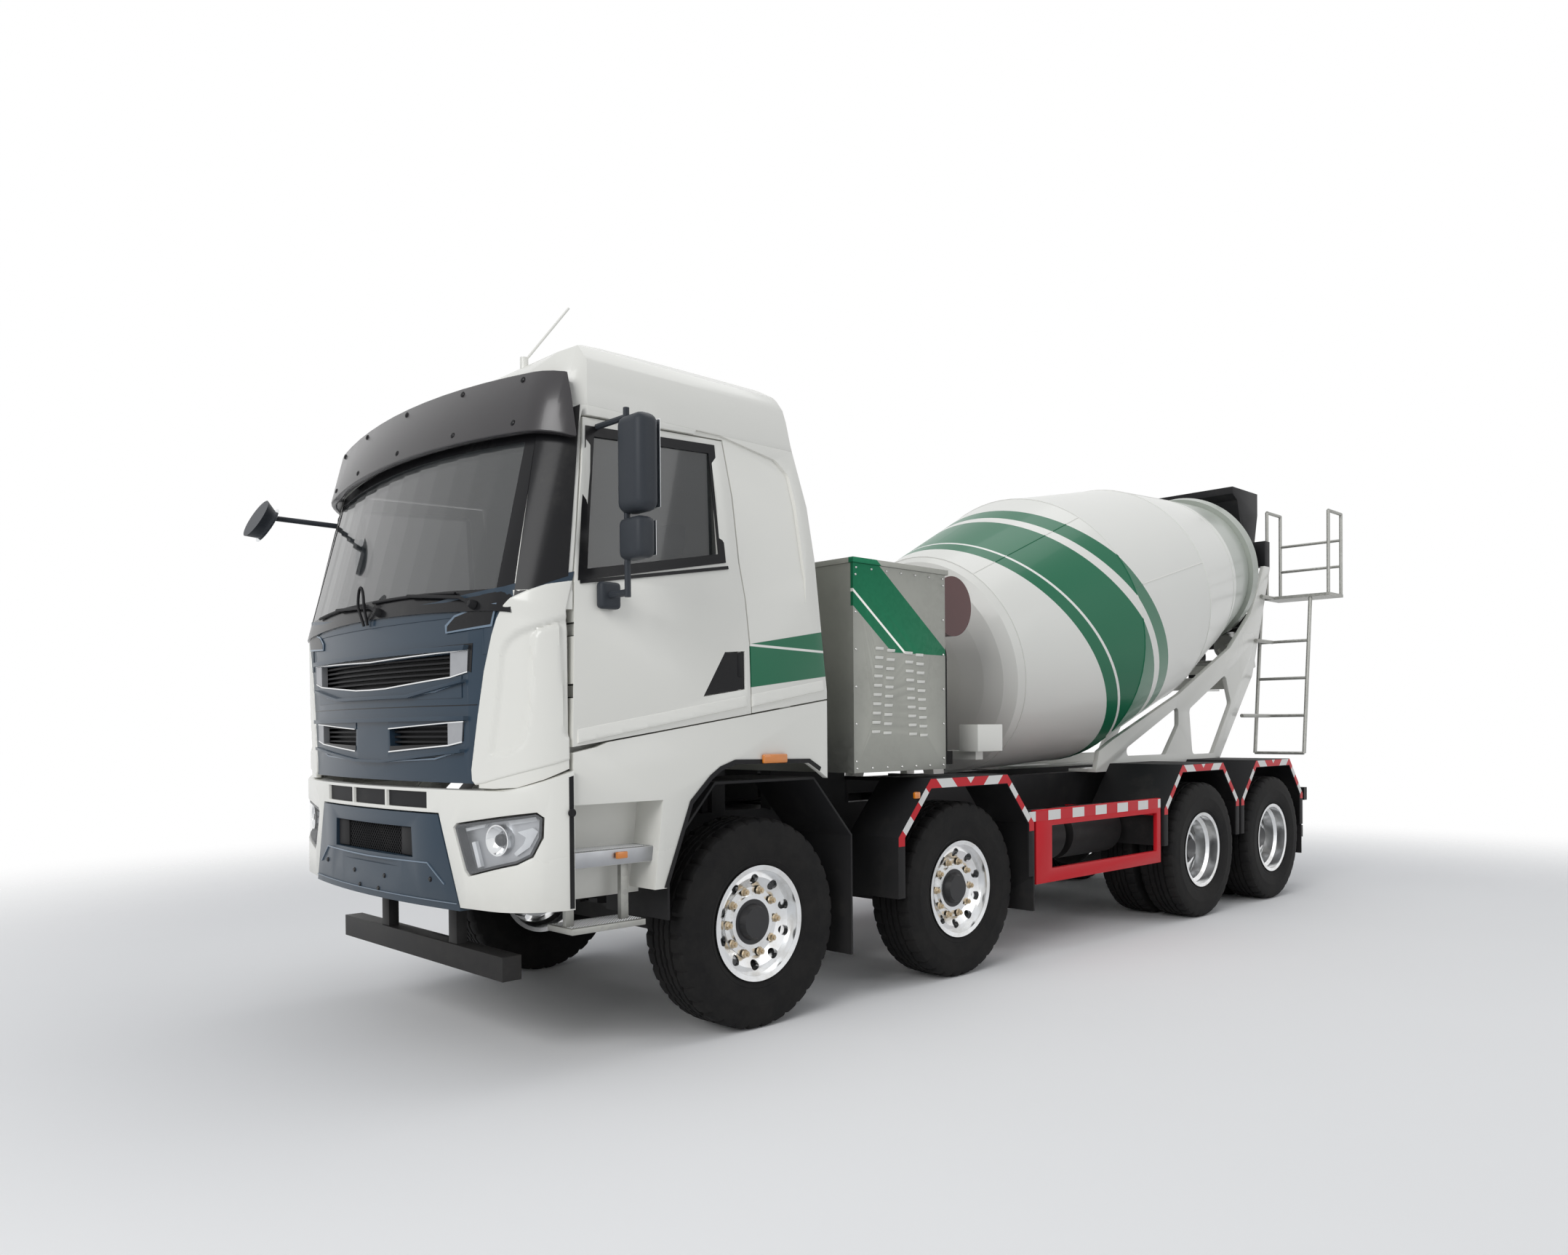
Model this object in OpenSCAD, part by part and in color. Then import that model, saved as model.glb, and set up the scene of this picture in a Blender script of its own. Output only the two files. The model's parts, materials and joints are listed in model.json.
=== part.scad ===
// Concrete mixer truck: an electric 8x4 cab-over chassis with an inclined drum.
// X points forward, Y to the truck's left, Z up from the road. Millimetres.
// Places along the truck are given from the first axle, which from_axle() puts in the frame.

/* [Axles and wheels] */
// Distance from the first steered axle to the second
steer_gap = 1700; // [1500:10:2000]
// Distance from the second steered axle to the first drive axle
main_gap = 3100; // [2900:10:3600]
// Distance between the two drive axles
bogie_gap = 1350; // [1340:10:1450]
// Outside diameter of a tyre
tyre_d = 1084; // [1040:2:1100]
// Width of a tyre
tyre_w = 300; // [270:2:306]
// Diameter of a rim's flange
rim_d = 597; // [560:1:610]
// Truck's middle to a front tyre's middle
front_track = 1025; // [1000:5:1050]
// Truck's middle to the middle of a pair of twin tyres
rear_track = 930; // [910:5:950]
// Distance between the middles of twin tyres
twin_gap = 340; // [330:5:360]
// From a front tyre's middle in to its kingpin
kingpin_in = 145; // [140:1:155]

/* [Chassis] */
// Width over the frame rails
rail_span = 860; // [820:10:880]
// Height of a rail's top above the road
rail_top = 1060; // [1040:10:1080]
// Depth of a frame rail
rail_depth = 290; // [240:10:300]
// Height of the sub-frame on the rails
sub_h = 110; // [90:10:120]
// Frame's rear end behind the last axle
rear_overhang = 850; // [800:10:950]

/* [Cab] */
// Width over the cab's sides
cab_w = 2490; // [2440:10:2500]
// Cab's front ahead of the first axle
cab_front = 1533; // [1500:1:1560]
// Cab's rear wall behind the first axle
cab_rear = 418; // [380:1:450]
// Bottom of the front panels
front_low = 1310; // [1300:5:1330]
// Foot of the windscreen
screen_low = 2150; // [2100:10:2200]
// Height of the seam between cab and roof
roof_low = 2990; // [2960:10:3020]
// Top of the roof
roof_top = 3332; // [3310:2:3350]
// Lean of the windscreen from upright, in degrees
screen_rake = 15; // [10:1:18]
// Thickness of the cab's walls and doors
wall = 80; // [60:2:90]
// Gap round a door and between panels
panel_gap = 8; // [7:1:12]

/* [Drum] */
// Slope of the drum's axis, in degrees
drum_slope = 14.85; // [14:0.05:15]
// Radius of the drum where it is widest
drum_r = 1110; // [1080:5:1120]
// Radius of the roller ring
ring_r = 745; // [730:5:750]
// Radius of the drum's mouth
mouth_r = 560; // [520:5:580]
// Thickness of the drum's wall
drum_wall = 12; // [8:1:16]

/* [Rear] */
// Height of the feed hopper's rim
hopper_top = 3920; // [3890:5:3960]
// Height of the ladder's platform
deck_z = 2830; // [2780:5:2860]

/* [Hidden] */
$fn = 48;
fit = 0.05;
seat = 0.4;
mirror_x = 1560;
mirror_tip = 62;
mirror_r = 120;
mirror_h = 70;
front_reach = mirror_x + mirror_h * sin(mirror_tip) + mirror_r * cos(mirror_tip);
deck_rear = 7990;
hoop_r = 16;
plate_y = 590;
rear_reach = deck_rear + hoop_r;
axle_1_x = (rear_reach - front_reach) / 2;
axle_x = [0, -steer_gap, -steer_gap - main_gap, -steer_gap - main_gap - bogie_gap];
axle_z = tyre_d / 2;
half_w = cab_w / 2;
tyre_r = tyre_d / 2;
rim_r = rim_d / 2;
bead_r = rim_r - 12;
bead_w = 0.40 * tyre_w;
rail_y = rail_span / 2;
rail_low = rail_top - rail_depth;
sub_top = rail_top + sub_h;
frame_rear = axle_x[3] - rear_overhang;
spindle_r = 40;
kingpin_y = front_track - kingpin_in;
kingpin_r = 25;
hub_r = 140;
tow_r = 25;
guard_tops = [1285, 1242, 1236, 1236];

// The door's outline from its lower front corner, and the seam below the doors
seam_front = [1183, 1470];
seam_rear = [-cab_rear, 1700];
door_rear_x = 140;
hinge_x = 1145;
hinge_y = half_w - 15;
hinge_zs = [1690, 1960];
hinge_h = 50;
pin_r = 6;

// The cab's front bows with this radius and turns into the sides round this corner
bow_r = 5000;
bow_corner = 300;
bow_corner_x = cab_front - bow_r + sqrt(pow(bow_r - bow_corner, 2) - pow(half_w - bow_corner, 2));
bow_turn = asin((half_w - bow_corner) / (bow_r - bow_corner));

// The cab tilts about pins ahead of the frame
tilt_x = 1420;
tilt_z = 930;
tilt_pin_r = 22;
lug_y = rail_y - 150;
lug_w = 45;
floor_z = 1410;
floor_h = 80;
leaf_pad = axle_z + 20 + seat;
leaf_tip = leaf_pad + 161;
bogie_rise = 320;

// The drum's axis runs up to the rear through the seam where its rear cone starts
drum_mid = [-4088, 2329];
head_s = -1250;
cone_s = 1350;
ring_s = 2900;
ring_w = 120;
mouth_s = 3350;
head_r = 840;
cone_r = 1020;
neck_r = 700;
shaft_r = 60;
shaft_s = -1490;

// The chute swings on a post behind the rear pedestal
post_x = -7560;
post_z = 2000;
post_r = 40;
chute_hinge_y = -130;
chute_hinge_z = 2130;
chute_pin_r = 15;
chute_r = 210;

white = [0.93, 0.92, 0.88];
slate = [0.33, 0.39, 0.46];
black = [0.10, 0.10, 0.11];
steel = [0.70, 0.71, 0.70];
red = [0.78, 0.10, 0.12];
glass = [0.20, 0.24, 0.27, 0.5];
bright = [0.85, 0.86, 0.87];

// Helpers

// Puts what is placed from the first axle into the part's frame
module from_axle() {
  translate([axle_1_x, 0, 0]) children();
}

// One on each side
module both_sides() {
  children();
  mirror([0, 1, 0]) children();
}

// On the left for 1, on the right for -1
module on_side(side) {
  if (side > 0) children();
  else mirror([0, 1, 0]) children();
}

// A side-view outline, X and Z, made solid from y0 to y1
module slab(y0, y1) {
  translate([0, y1, 0]) rotate([90, 0, 0]) linear_extrude(y1 - y0) children();
}

// A front-view outline, Y and Z, made solid from x0 to x1
module panel(x0, x1) {
  translate([x0, 0, 0]) rotate([90, 0, 90]) linear_extrude(x1 - x0) children();
}

// A box between two corners
module block(a, b) {
  translate(a) cube([b[0] - a[0], b[1] - a[1], b[2] - a[2]]);
}

// A round bar between two points
module bar(a, b, r) {
  d = b - a;
  l = norm(d);
  translate(a) rotate([0, acos(d[2] / l), atan2(d[1], d[0])]) cylinder(r = r, h = l);
}

// A round bar along Y
module bar_y(x, y0, y1, z, r) {
  translate([x, y0, z]) rotate([-90, 0, 0]) cylinder(r = r, h = y1 - y0);
}

// The front of the cab seen from above, grown by o: a shallow arc that runs into round corners
function plan_edge(o) = concat(
  [[-cab_rear - 600, half_w + o]],
  [for (i = [0:9]) let (a = 90 - i * (90 - bow_turn) / 9)
    [bow_corner_x + (bow_corner + o) * cos(a), half_w - bow_corner + (bow_corner + o) * sin(a)]],
  [for (i = [1:5]) let (a = bow_turn * (1 - i / 6))
    [cab_front - bow_r + (bow_r + o) * cos(a), (bow_r + o) * sin(a)]]
);

module plan(o) {
  left = plan_edge(o);
  polygon(concat(
    left, [[cab_front + o, 0]], [for (i = [len(left) - 1:-1:0]) [left[i][0], -left[i][1]]]
  ));
}

// The skin of the cab's front between two offsets from plan()
module skin(inner, outer) {
  difference() {
    plan(outer);
    plan(inner);
  }
}

// Leans what stands on the windscreen's foot back by its rake
module raked() {
  translate([cab_front, 0, screen_low]) rotate([0, -screen_rake, 0]) translate([-cab_front, 0, 0]) children();
}

// Points on the drum's axis at a distance s up from its widest seam
module on_drum(s = 0) {
  translate([drum_mid[0], 0, drum_mid[1]]) rotate([0, drum_slope - 90, 0]) translate([0, 0, s]) children();
}

// Height of the seam below the doors
function seam_z(x) = seam_front[1]
  + (seam_front[0] - x) * (seam_rear[1] - seam_front[1]) / (seam_front[0] - seam_rear[0]);

// Wheels

// One half of a tyre's section as radius and width: bead, sidewall and shoulder
function tyre_half() = [
  [bead_r, bead_w - 2], [rim_r + 3, bead_w - 2], [rim_r + 9, bead_w + 8], [bead_r + 75, 0.487 * tyre_w],
  [(tyre_r + bead_r) / 2, tyre_w / 2], [tyre_r - 55, 0.492 * tyre_w], [tyre_r - 16, 0.455 * tyre_w],
  [tyre_r - 5, 0.42 * tyre_w], [tyre_r, 0.36 * tyre_w],
];

module tyre_section(y) {
  half = tyre_half();
  translate([0, y]) polygon(concat(half, [for (i = [len(half) - 1:-1:0]) [half[i][0], -half[i][1]]]));
}

module tyre_ring(y) {
  rotate([-90, 0, 0]) rotate_extrude($fn = 96) tyre_section(y);
}

// A rim's barrel with its flanges and drop centre
module rim_barrel(y) {
  w = bead_w;
  r = bead_r - seat;
  rotate([-90, 0, 0]) rotate_extrude($fn = 96) translate([0, y]) polygon([
    [r, -w], [rim_r, -w - 2], [rim_r, -w - 14], [r - 14, -w - 10], [r - 16, -60],
    [r - 42, -40], [r - 42, 40], [r - 16, 60], [r - 14, w + 10], [rim_r, w + 14], [rim_r, w + 2],
    [r, w], [r, 75], [r - 28, 46], [r - 28, -46], [r, -75],
  ]);
}

// A wheel's dished disc with its hand holes, from y0 at the barrel to y1 at the hub
module wheel_disc(y0, y1) {
  holes = 10;
  r = bead_r - 8;
  difference() {
    rotate([-90, 0, 0]) rotate_extrude($fn = 96) polygon([
      [hub_r - 10, y1], [hub_r + 40, y1], [r - 45, y0 + 6], [r, y0],
      [r, y0 - 24], [r - 55, y0 - 18], [hub_r + 35, y1 - 22], [hub_r - 10, y1 - 22],
    ]);
    for (i = [0:holes - 1]) rotate([0, (i + 0.5) * 360 / holes, 0]) translate([0.80 * r, 0, 0])
      rotate([-90, 0, 0]) cylinder(r = 27, h = 3 * tyre_w, center = true, $fn = 32);
  }
}

// A hub with its brake drum, bored for the spindle
module hub(y0, y1, drum_y0, drum_y1, bore_r) {
  difference() {
    union() {
      rotate([-90, 0, 0]) translate([0, 0, y0]) cylinder(r = hub_r, h = y1 - y0);
      rotate([-90, 0, 0]) translate([0, 0, drum_y0]) cylinder(r = 205, h = drum_y1 - drum_y0);
      rotate([-90, 0, 0]) translate([0, 0, y1 - 1]) cylinder(r1 = 95, r2 = 80, h = 36);
    }
    rotate([-90, 0, 0]) translate([0, 0, y0 - 300]) cylinder(r = bore_r, h = y1 - y0 + 270);
  }
}

module front_tyre(axle, side) color(black) from_axle() on_side(side)
  translate([axle_x[axle], front_track, axle_z]) tyre_ring(0);

module front_wheel(axle, side) color(bright) from_axle() on_side(side)
  translate([axle_x[axle], front_track, axle_z]) {
    rim_barrel(0);
    wheel_disc(88, 62);
    hub(-50, 75, -50, -10, spindle_r + fit);
  }

module rear_tyres(axle, side) color(black) from_axle() on_side(side)
  translate([axle_x[axle], rear_track, axle_z]) {
    tyre_ring(-twin_gap / 2);
    tyre_ring(twin_gap / 2);
  }

module rear_wheels(axle, side) color(bright) from_axle() on_side(side)
  translate([axle_x[axle], rear_track, axle_z]) {
    rim_barrel(-twin_gap / 2);
    rim_barrel(twin_gap / 2);
    wheel_disc(58, 22);
    mirror([0, 1, 0]) wheel_disc(58, 22);
    hub(-60, 170, -190, -50, 60 + fit);
  }

// Axles

// A knuckle turns on its kingpin and carries the wheel on its spindle
module knuckle(axle, side) color(black) from_axle() on_side(side)
  translate([axle_x[axle], kingpin_y, axle_z]) difference() {
    union() {
      for (z = [-108, 65]) translate([0, 0, z]) cylinder(r = 55, h = 43);
      block([-55, 0, 65], [55, 80, 108]);
      block([-55, 0, -108], [55, 80, -65]);
      block([-60, 62, -108], [60, 88, 108]);
      block([-170, -20, -108], [-40, 30, -78]);
      bar_y(0, 80, front_track - kingpin_y + 40, 0, spindle_r);
    }
    translate([0, 0, -150]) cylinder(r = kingpin_r + fit, h = 300);
  }

// A dropped beam with an eye and a kingpin at each end
module steer_beam() {
  panel(-55, 55) polygon([
    [-kingpin_y, axle_z + 50], [-kingpin_y, axle_z - 50], [180 - kingpin_y, axle_z - 90],
      [320 - kingpin_y, axle_z - 130],
    [kingpin_y - 320, axle_z - 130], [kingpin_y - 180, axle_z - 90], [kingpin_y, axle_z - 50],
      [kingpin_y, axle_z + 50],
    [kingpin_y - 180, axle_z + 10], [kingpin_y - 320, axle_z - 30],
    [320 - kingpin_y, axle_z - 30], [180 - kingpin_y, axle_z + 10],
  ]);
  both_sides() {
    translate([0, kingpin_y, axle_z - 60]) cylinder(r = 55, h = 120);
    translate([0, kingpin_y, axle_z - 112]) cylinder(r = kingpin_r, h = 224);
    block([-90, rail_y - 75, axle_z - 40], [90, rail_y + 15, axle_z + 20]);
  }
}

module steer_axles() color(black) from_axle()
  for (i = [0, 1]) translate([axle_x[i], 0, 0]) steer_beam();

// A drive axle's housing with its bulge, and a spindle at each end
module drive_axles() color(black) from_axle() {
  for (i = [2, 3]) translate([axle_x[i], 0, axle_z]) {
    bar_y(0, -rear_track + 220, rear_track - 220, 0, 80);
    bar_y(0, -rear_track - 110, rear_track + 110, 0, 60);
    sphere(r = 215);
    translate([150, 0, 60]) rotate([0, 90, 0]) cylinder(r = 70, h = 150);
    both_sides() block([-95, rail_y + 22, 40], [95, rail_y + 118, 100]);
  }
  // Propeller shafts from the motor and between the axles
  bar([-1153.6, 0, 800], [axle_x[2] + 280, 0, axle_z + 60], 55);
  bar([axle_x[2] - 150, 0, axle_z + 60], [axle_x[3] + 290, 0, axle_z + 60], 50);
}

// One stack of leaves: each step shorter than the one above
module leaf_stack(reach, z, leaves, leaf_w) {
  leaf_h = 26;
  for (i = [0:leaves - 1]) {
    l = reach * (1 - 0.13 * i);
    slab(-leaf_w / 2, leaf_w / 2) translate([0, z + (leaves - 1 - i) * leaf_h]) polygon([
      [-l, 0.10 * (l - 120)], [-120, 0], [120, 0], [l, 0.10 * (l - 120)],
      [l, 0.10 * (l - 120) + leaf_h], [120, leaf_h], [-120, leaf_h], [-l, 0.10 * (l - 120) + leaf_h],
    ]);
  }
}

module leaf_springs() color(black) from_axle() {
  for (i = [0, 1]) both_sides() translate([axle_x[i], rail_y - 30, 0]) leaf_stack(690, leaf_pad, 4, 80);
  mid = (axle_x[2] + axle_x[3]) / 2;
  both_sides() translate([mid, rail_y + 70, 2 * axle_z + bogie_rise + seat]) mirror([0, 0, 1])
    leaf_stack(bogie_gap / 2 + 85, axle_z, 6, 90);
}

// The traction motor with its gearbox, one plain block on arms from the rails
module drive_motor() color(black) from_axle() {
  block([-1150, -260, 640], [-420, 260, 1040]);
  both_sides() block([-860, 250, 900], [-740, rail_y - 10 - seat, 960]);
}

// Chassis

module rail() {
  flange = 85;
  web = 10;
  difference() {
    block([frame_rear, rail_y - flange, rail_low], [1330, rail_y, rail_top]);
    block([frame_rear - 1, rail_y - flange - 1, rail_low + web], [1331, rail_y - web, rail_top - web]);
  }
}

module chassis_frame() color(black) from_axle() {
  cross = [1180, -1350, -2600, -3800, axle_x[2] + 500, (axle_x[2] + axle_x[3]) / 2, frame_rear + 90];
  both_sides() {
    rail();
    block([frame_rear, rail_y - 80, rail_top], [-1850, rail_y, sub_top]);
    // Ends that carry the cab's tilting pins
    block([1250, rail_y - 40, rail_low + 60], [tilt_x + 30, rail_y - 5, tilt_z + 40]);
    bar_y(tilt_x, lug_y - 5, rail_y - 6, tilt_z, tilt_pin_r);
    // Spring hangers
    for (i = [0, 1], e = [-1, 1]) translate([axle_x[i] + e * 680, 0, 0])
      block([-45, rail_y - 85, leaf_tip + seat], [45, rail_y - 1, rail_low + 5]);
    // Saddle of the drive axles' springs
    translate([(axle_x[2] + axle_x[3]) / 2, 0, axle_z]) {
      block([-110, rail_y - 5, 60], [110, rail_y + 20, rail_top - axle_z - 170]);
      block([-110, rail_y - 5, 60], [110, rail_y + 116, bogie_rise - 156]);
    }
    // Air tanks and battery boxes hung between the axle groups
    for (x = [-2540, -3330]) {
      translate([x, rail_y + 330, rail_low - 20]) rotate([0, -90, 0]) cylinder(r = 190, h = 690);
      for (d = [120, 560]) block([x - d - 40, rail_y - 5, rail_low + 60],
        [x - d + 40, rail_y + 330, rail_low + 110]);
    }
    // Bracket for the cabinet and the cab's rear mounting
    block([-1400, rail_y - 60, rail_top - 5], [-740, rail_y + 30, 1290 - seat]);
    block([-400, rail_y - 60, rail_top - 5], [-300, rail_y, floor_z - seat]);
  }
  for (x = cross) block([x - 60, -rail_y + 5, rail_low + 120], [x + 60, rail_y - 5, rail_top - 20]);
  // Tail beam with its lamp plates and the towing jaw
  block([frame_rear - 60, -1180, 830], [frame_rear + 5, 1180, 950]);
  difference() {
    block([frame_rear - 190, -80, 850], [frame_rear - 50, 80, 930]);
    translate([frame_rear - 120, 0, 800]) cylinder(r = tow_r, h = 200);
  }
}

module leaning_front() {
  polygon([[1190, 762], [1660, 752], [1660, 1280], [1425, 1280], [1190, 1366]]);
}

// A slanted front-view outline of the bumper's middle, grown by o
module centre_outline(o) {
  a = half_w - 605;
  b = half_w - 445;
  polygon([[-a - o, 1165 + o], [a + o, 1165 + o], [b + o, 740 - o], [-b - o, 740 - o]]);
}

// A lamp's outline in the front view, grown by o
module lamp_outline(o) {
  offset(delta = o) translate([half_w, 0]) polygon([
    [-487, 1111], [-465, 1129], [-51, 1187], [-34, 1167], [-36, 1081], [-63, 1000], [-113, 968],
      [-385, 903], [-410, 926],
  ]);
}

module bumper() color(white) from_axle() {
  difference() {
    intersection() {
      translate([0, 0, 740]) linear_extrude(680) skin(-55, 22);
      slab(-half_w - 160, half_w + 160) leaning_front();
    }
    // Seats of the middle and of the lamps
    intersection() {
      translate([0, 0, 700]) linear_extrude(800) skin(-40, 60);
      panel(1000, 1700) centre_outline(panel_gap);
    }
    both_sides() intersection() {
      translate([0, 0, 700]) linear_extrude(800) skin(-45, 60);
      panel(1185, 1700) lamp_outline(panel_gap / 2);
    }
    for (y = [-375, 0, 375]) block([1490, y - 180, 1190], [1600, y + 180, 1266]);
  }
  both_sides() block([1300, rail_y + seat, 800], [1430, half_w - 345, 860]);
}

module bumper_centre() color(slate) from_axle() {
  difference() {
    intersection() {
      translate([0, 0, 740]) linear_extrude(430) skin(-40 + seat, 24);
      panel(1000, 1700) centre_outline(0);
    }
    panel(1400, 1700) polygon([[-425, 1098], [425, 1098], [435, 957], [-435, 957]]);
    panel(1546, 1700) polygon([[-900, 925], [900, 925], [900, 905], [-900, 905]]);
  }
  // Mesh of upright and level bars deep in its opening
  for (y = [-400:40:400]) block([1497, y - 5, 950], [1507, y + 5, 1106]);
  for (z = [985, 1028, 1071]) block([1499, -450, z - 5], [1509, 450, z + 5]);
}

module lamps() color(bright) from_axle() {
  both_sides() {
    intersection() {
      translate([0, 0, 900]) linear_extrude(320) skin(-45 + seat, 18);
      panel(1185, 1700) lamp_outline(0);
    }
    block([frame_rear - 100, 780, 850], [frame_rear - 60, 1160, 935]);
  }
}

module underrun_bars() color(black) from_axle() {
  // Front bar below the bumper on two struts, and the rear bar below the frame
  block([1220, -860, 402], [1318, 860, 515]);
  both_sides() block([1250, rail_y - 100, 510], [1305, rail_y - 20, rail_low - seat]);
  block([frame_rear - 40, -1150, 480], [frame_rear + 60, 1150, 590]);
  both_sides() block([frame_rear - 20, rail_y - 70, 585], [frame_rear + 40, rail_y, rail_low - seat]);
}

module fender_outline() {
  polygon([
    [1180, 1215], [1180, seam_z(1180) - panel_gap - 18], [1060, seam_z(1060) - panel_gap - 12],
    [1000, seam_z(1000) - panel_gap], [-cab_rear, seam_z(-cab_rear) - panel_gap],
    [-cab_rear, 1278], [-356, 1317], [-274, 1362], [234, 1370], [329, 1340], [391, 1300], [513, 1187],
    [668, 800], [742, 800], [690, 1215],
  ]);
}

// Fenders below the seam, with the step wells ahead of the first wheels
module cab_fenders() color(white) from_axle() both_sides() {
  slab(half_w - 35, half_w) fender_outline();
  slab(half_w - 205, half_w - 30) polygon([[1180, 1215], [1180, 1250], [640, 1250], [650, 1215]]);
  // Well's back, its slanted flare at the wheel and two treads
  block([690, half_w - 240, 770], [1180, half_w - 200, 1250]);
  slab(half_w - 240, half_w - 20) polygon([[650, 1216], [690, 1216], [742, 800], [694, 800]]);
  slab(half_w - 205, half_w - 45) polygon([[1150, 930], [1150, 1000], [705, 1000], [715, 930]]);
  for (x = [1120, 820]) block([x, half_w - 130, 660], [x + 40, half_w - 105, 935]);
  slab(half_w - 240, half_w - 40) polygon([[1170, 640], [1170, 665], [770, 665], [770, 640]]);
  block([760, rail_y + seat, 850], [900, half_w - 235, 910]);
}

// A faceted guard over a wheel: an outline r out from the hub, t thick
module guard_outline(front, back, top, low, t) {
  difference() {
    polygon([[-back, low], [-back, top - 330], [-back + 300, top], [front - 300, top],
      [front, top - 330], [front, low]]);
    polygon([
      [-back + t, low - 1], [-back + t, top - 334], [-back + 304, top - t], [front - 304, top - t],
      [front - t, top - 334], [front - t, low - 1]
    ]);
  }
}

module mudguards() color(black) from_axle() both_sides() {
  t = 14;
  // Inner guard over the first wheels, guards over the second and over the twins
  translate([axle_x[0], 0, 0]) slab(700, half_w - 45) guard_outline(635, 660, guard_tops[0], 640, t);
  translate([axle_x[1], 0, 0]) slab(850, half_w - 10) guard_outline(690, 690, guard_tops[1], 560, t);
  for (i = [2, 3]) translate([axle_x[i], 0, 0]) slab(plate_y + 20 + seat, half_w - 5) guard_outline(655,
    655, guard_tops[i], 620, t);
  // Deep outer lips of the second and the rear guards
  translate([axle_x[1], 0, 0]) slab(half_w - 22, half_w - 10) guard_outline(690, 690, guard_tops[1], 560, 62);
  for (i = [2, 3]) translate([axle_x[i], 0, 0])
    slab(half_w - 17, half_w - 5) guard_outline(655, 655, guard_tops[i], 620, 62);
  // Flaps at the back and the arms that hold the guards
  block([axle_x[0] - 660, 900, 290], [axle_x[0] - 646, half_w - 45, 650]);
  block([axle_x[1] - 690, 850, 330], [axle_x[1] - 676, half_w - 10, 570]);
  block([axle_x[3] - 655, plate_y + 20 + seat, 350], [axle_x[3] - 641, half_w - 15, 630]);
  for (i = [0, 1], e = [-1, 1]) translate([axle_x[i] + e * 250, 0, 0]) {
    top = guard_tops[i] - t;
    block([-20, rail_y - 60, top - 18], [20, 900, top + 4]);
    block([-20, rail_y - 60, (axle_x[i] + e * 250 < -1850 ? sub_top : rail_top) + seat],
      [20, rail_y - 4, top]);
  }
}

module side_guards() color(red) from_axle() both_sides() {
  y0 = half_w - 55;
  y1 = half_w - 15;
  front = axle_x[1] - 720;
  rear = axle_x[2] + 690;
  block([front - 190, y0, 500], [front, y1, 990]);
  block([rear, y0, 880], [front - 100, y1, 990]);
  block([rear, y0, 500], [front - 100, y1, 590]);
  block([rear, y0 + 10, 520], [rear + 60, y1, 960]);
  for (x = [front - 40, rear + 30]) block([x - 30, rail_y + seat, rail_low + 90],
    [x + 30, y0 + 5, rail_low + 140]);
}

// Bodywork

// A closed cabinet behind the cab with a lid and four columns of louvres on each side
module power_cabinet() color(steel) from_axle() {
  x0 = -1565;
  x1 = -735;
  y = 1150;
  block([x0, -y, 1290], [x1, y, 2478]);
  block([x0 - 15, -y - 15, 2470], [x1 + 15, y + 15, 2500]);
  louvre = [66, 12, 22];
  both_sides() for (c = [0:3], r = [0:9])
    translate([-955 - c * 100 - (c > 1 ? 60 : 0) + (c < 2 ? 1 : -1) * r * 4, y - 2, 2000 - r * 53 - c * 8])
      rotate([-14, 0, 0]) cube(louvre, center = true);
}

module water_tank() color([0.42, 0.18, 0.18]) from_axle() {
  r = 195;
  l = 1820;
  translate([-1960, 0, 2330]) intersection() {
    bar_y(0, -l / 2, l / 2, 0, r);
    sphere(r = 933, $fn = 96);
  }
}

// The front pedestal with the drum's reducer and motor in line with the drum's axis
module drum_drive() color(white) from_axle() {
  x = -2420;
  difference() {
    union() {
      both_sides() panel(x - 60, x + 60) polygon([
        [rail_y - 80, sub_top + seat], [rail_y, sub_top + seat], [rail_y - 90, 2040],
          [rail_y - 300, 2040], [rail_y - 300, 1900],
      ]);
      block([x - 60, -rail_y + 20, 1560], [x + 60, rail_y - 20, 1640]);
      on_drum(-2010) cylinder(r = 235, h = 480);
      on_drum(-2190) cylinder(r = 150, h = 200);
    }
    on_drum(-1800) cylinder(r = shaft_r + fit, h = 500);
  }
  // Posts and saddles of the water tank, and the white control box at the left
  for (y = [-330, 330]) block([-1990, y - 30, 1400], [-1930, y + 30, 2330 - 195 - seat]);
  for (y = [-330, 330]) block([x - 20, y - 30, 1400], [-1930, y + 30, 1480]);
  block([-2140, rail_y - 20, 1330], [-2060, 1010, 1390]);
  block([-2140, rail_y - 60, sub_top + seat], [-2060, rail_y, 1390]);
  block([-2260, 930, 1385], [-1990, 1080, 1560]);
}

module pedestal_outline() {
  polygon([
    [-4230, sub_top], [-4280, 1340], [-4500, 1430], [-5655, 1825], [-6690, 2285], [-7150, 2640],
    [-7480, 3145], [-7614, 3145], [-7360, 2480], [-7180, 2030], [-6404, sub_top],
  ]);
}

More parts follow.
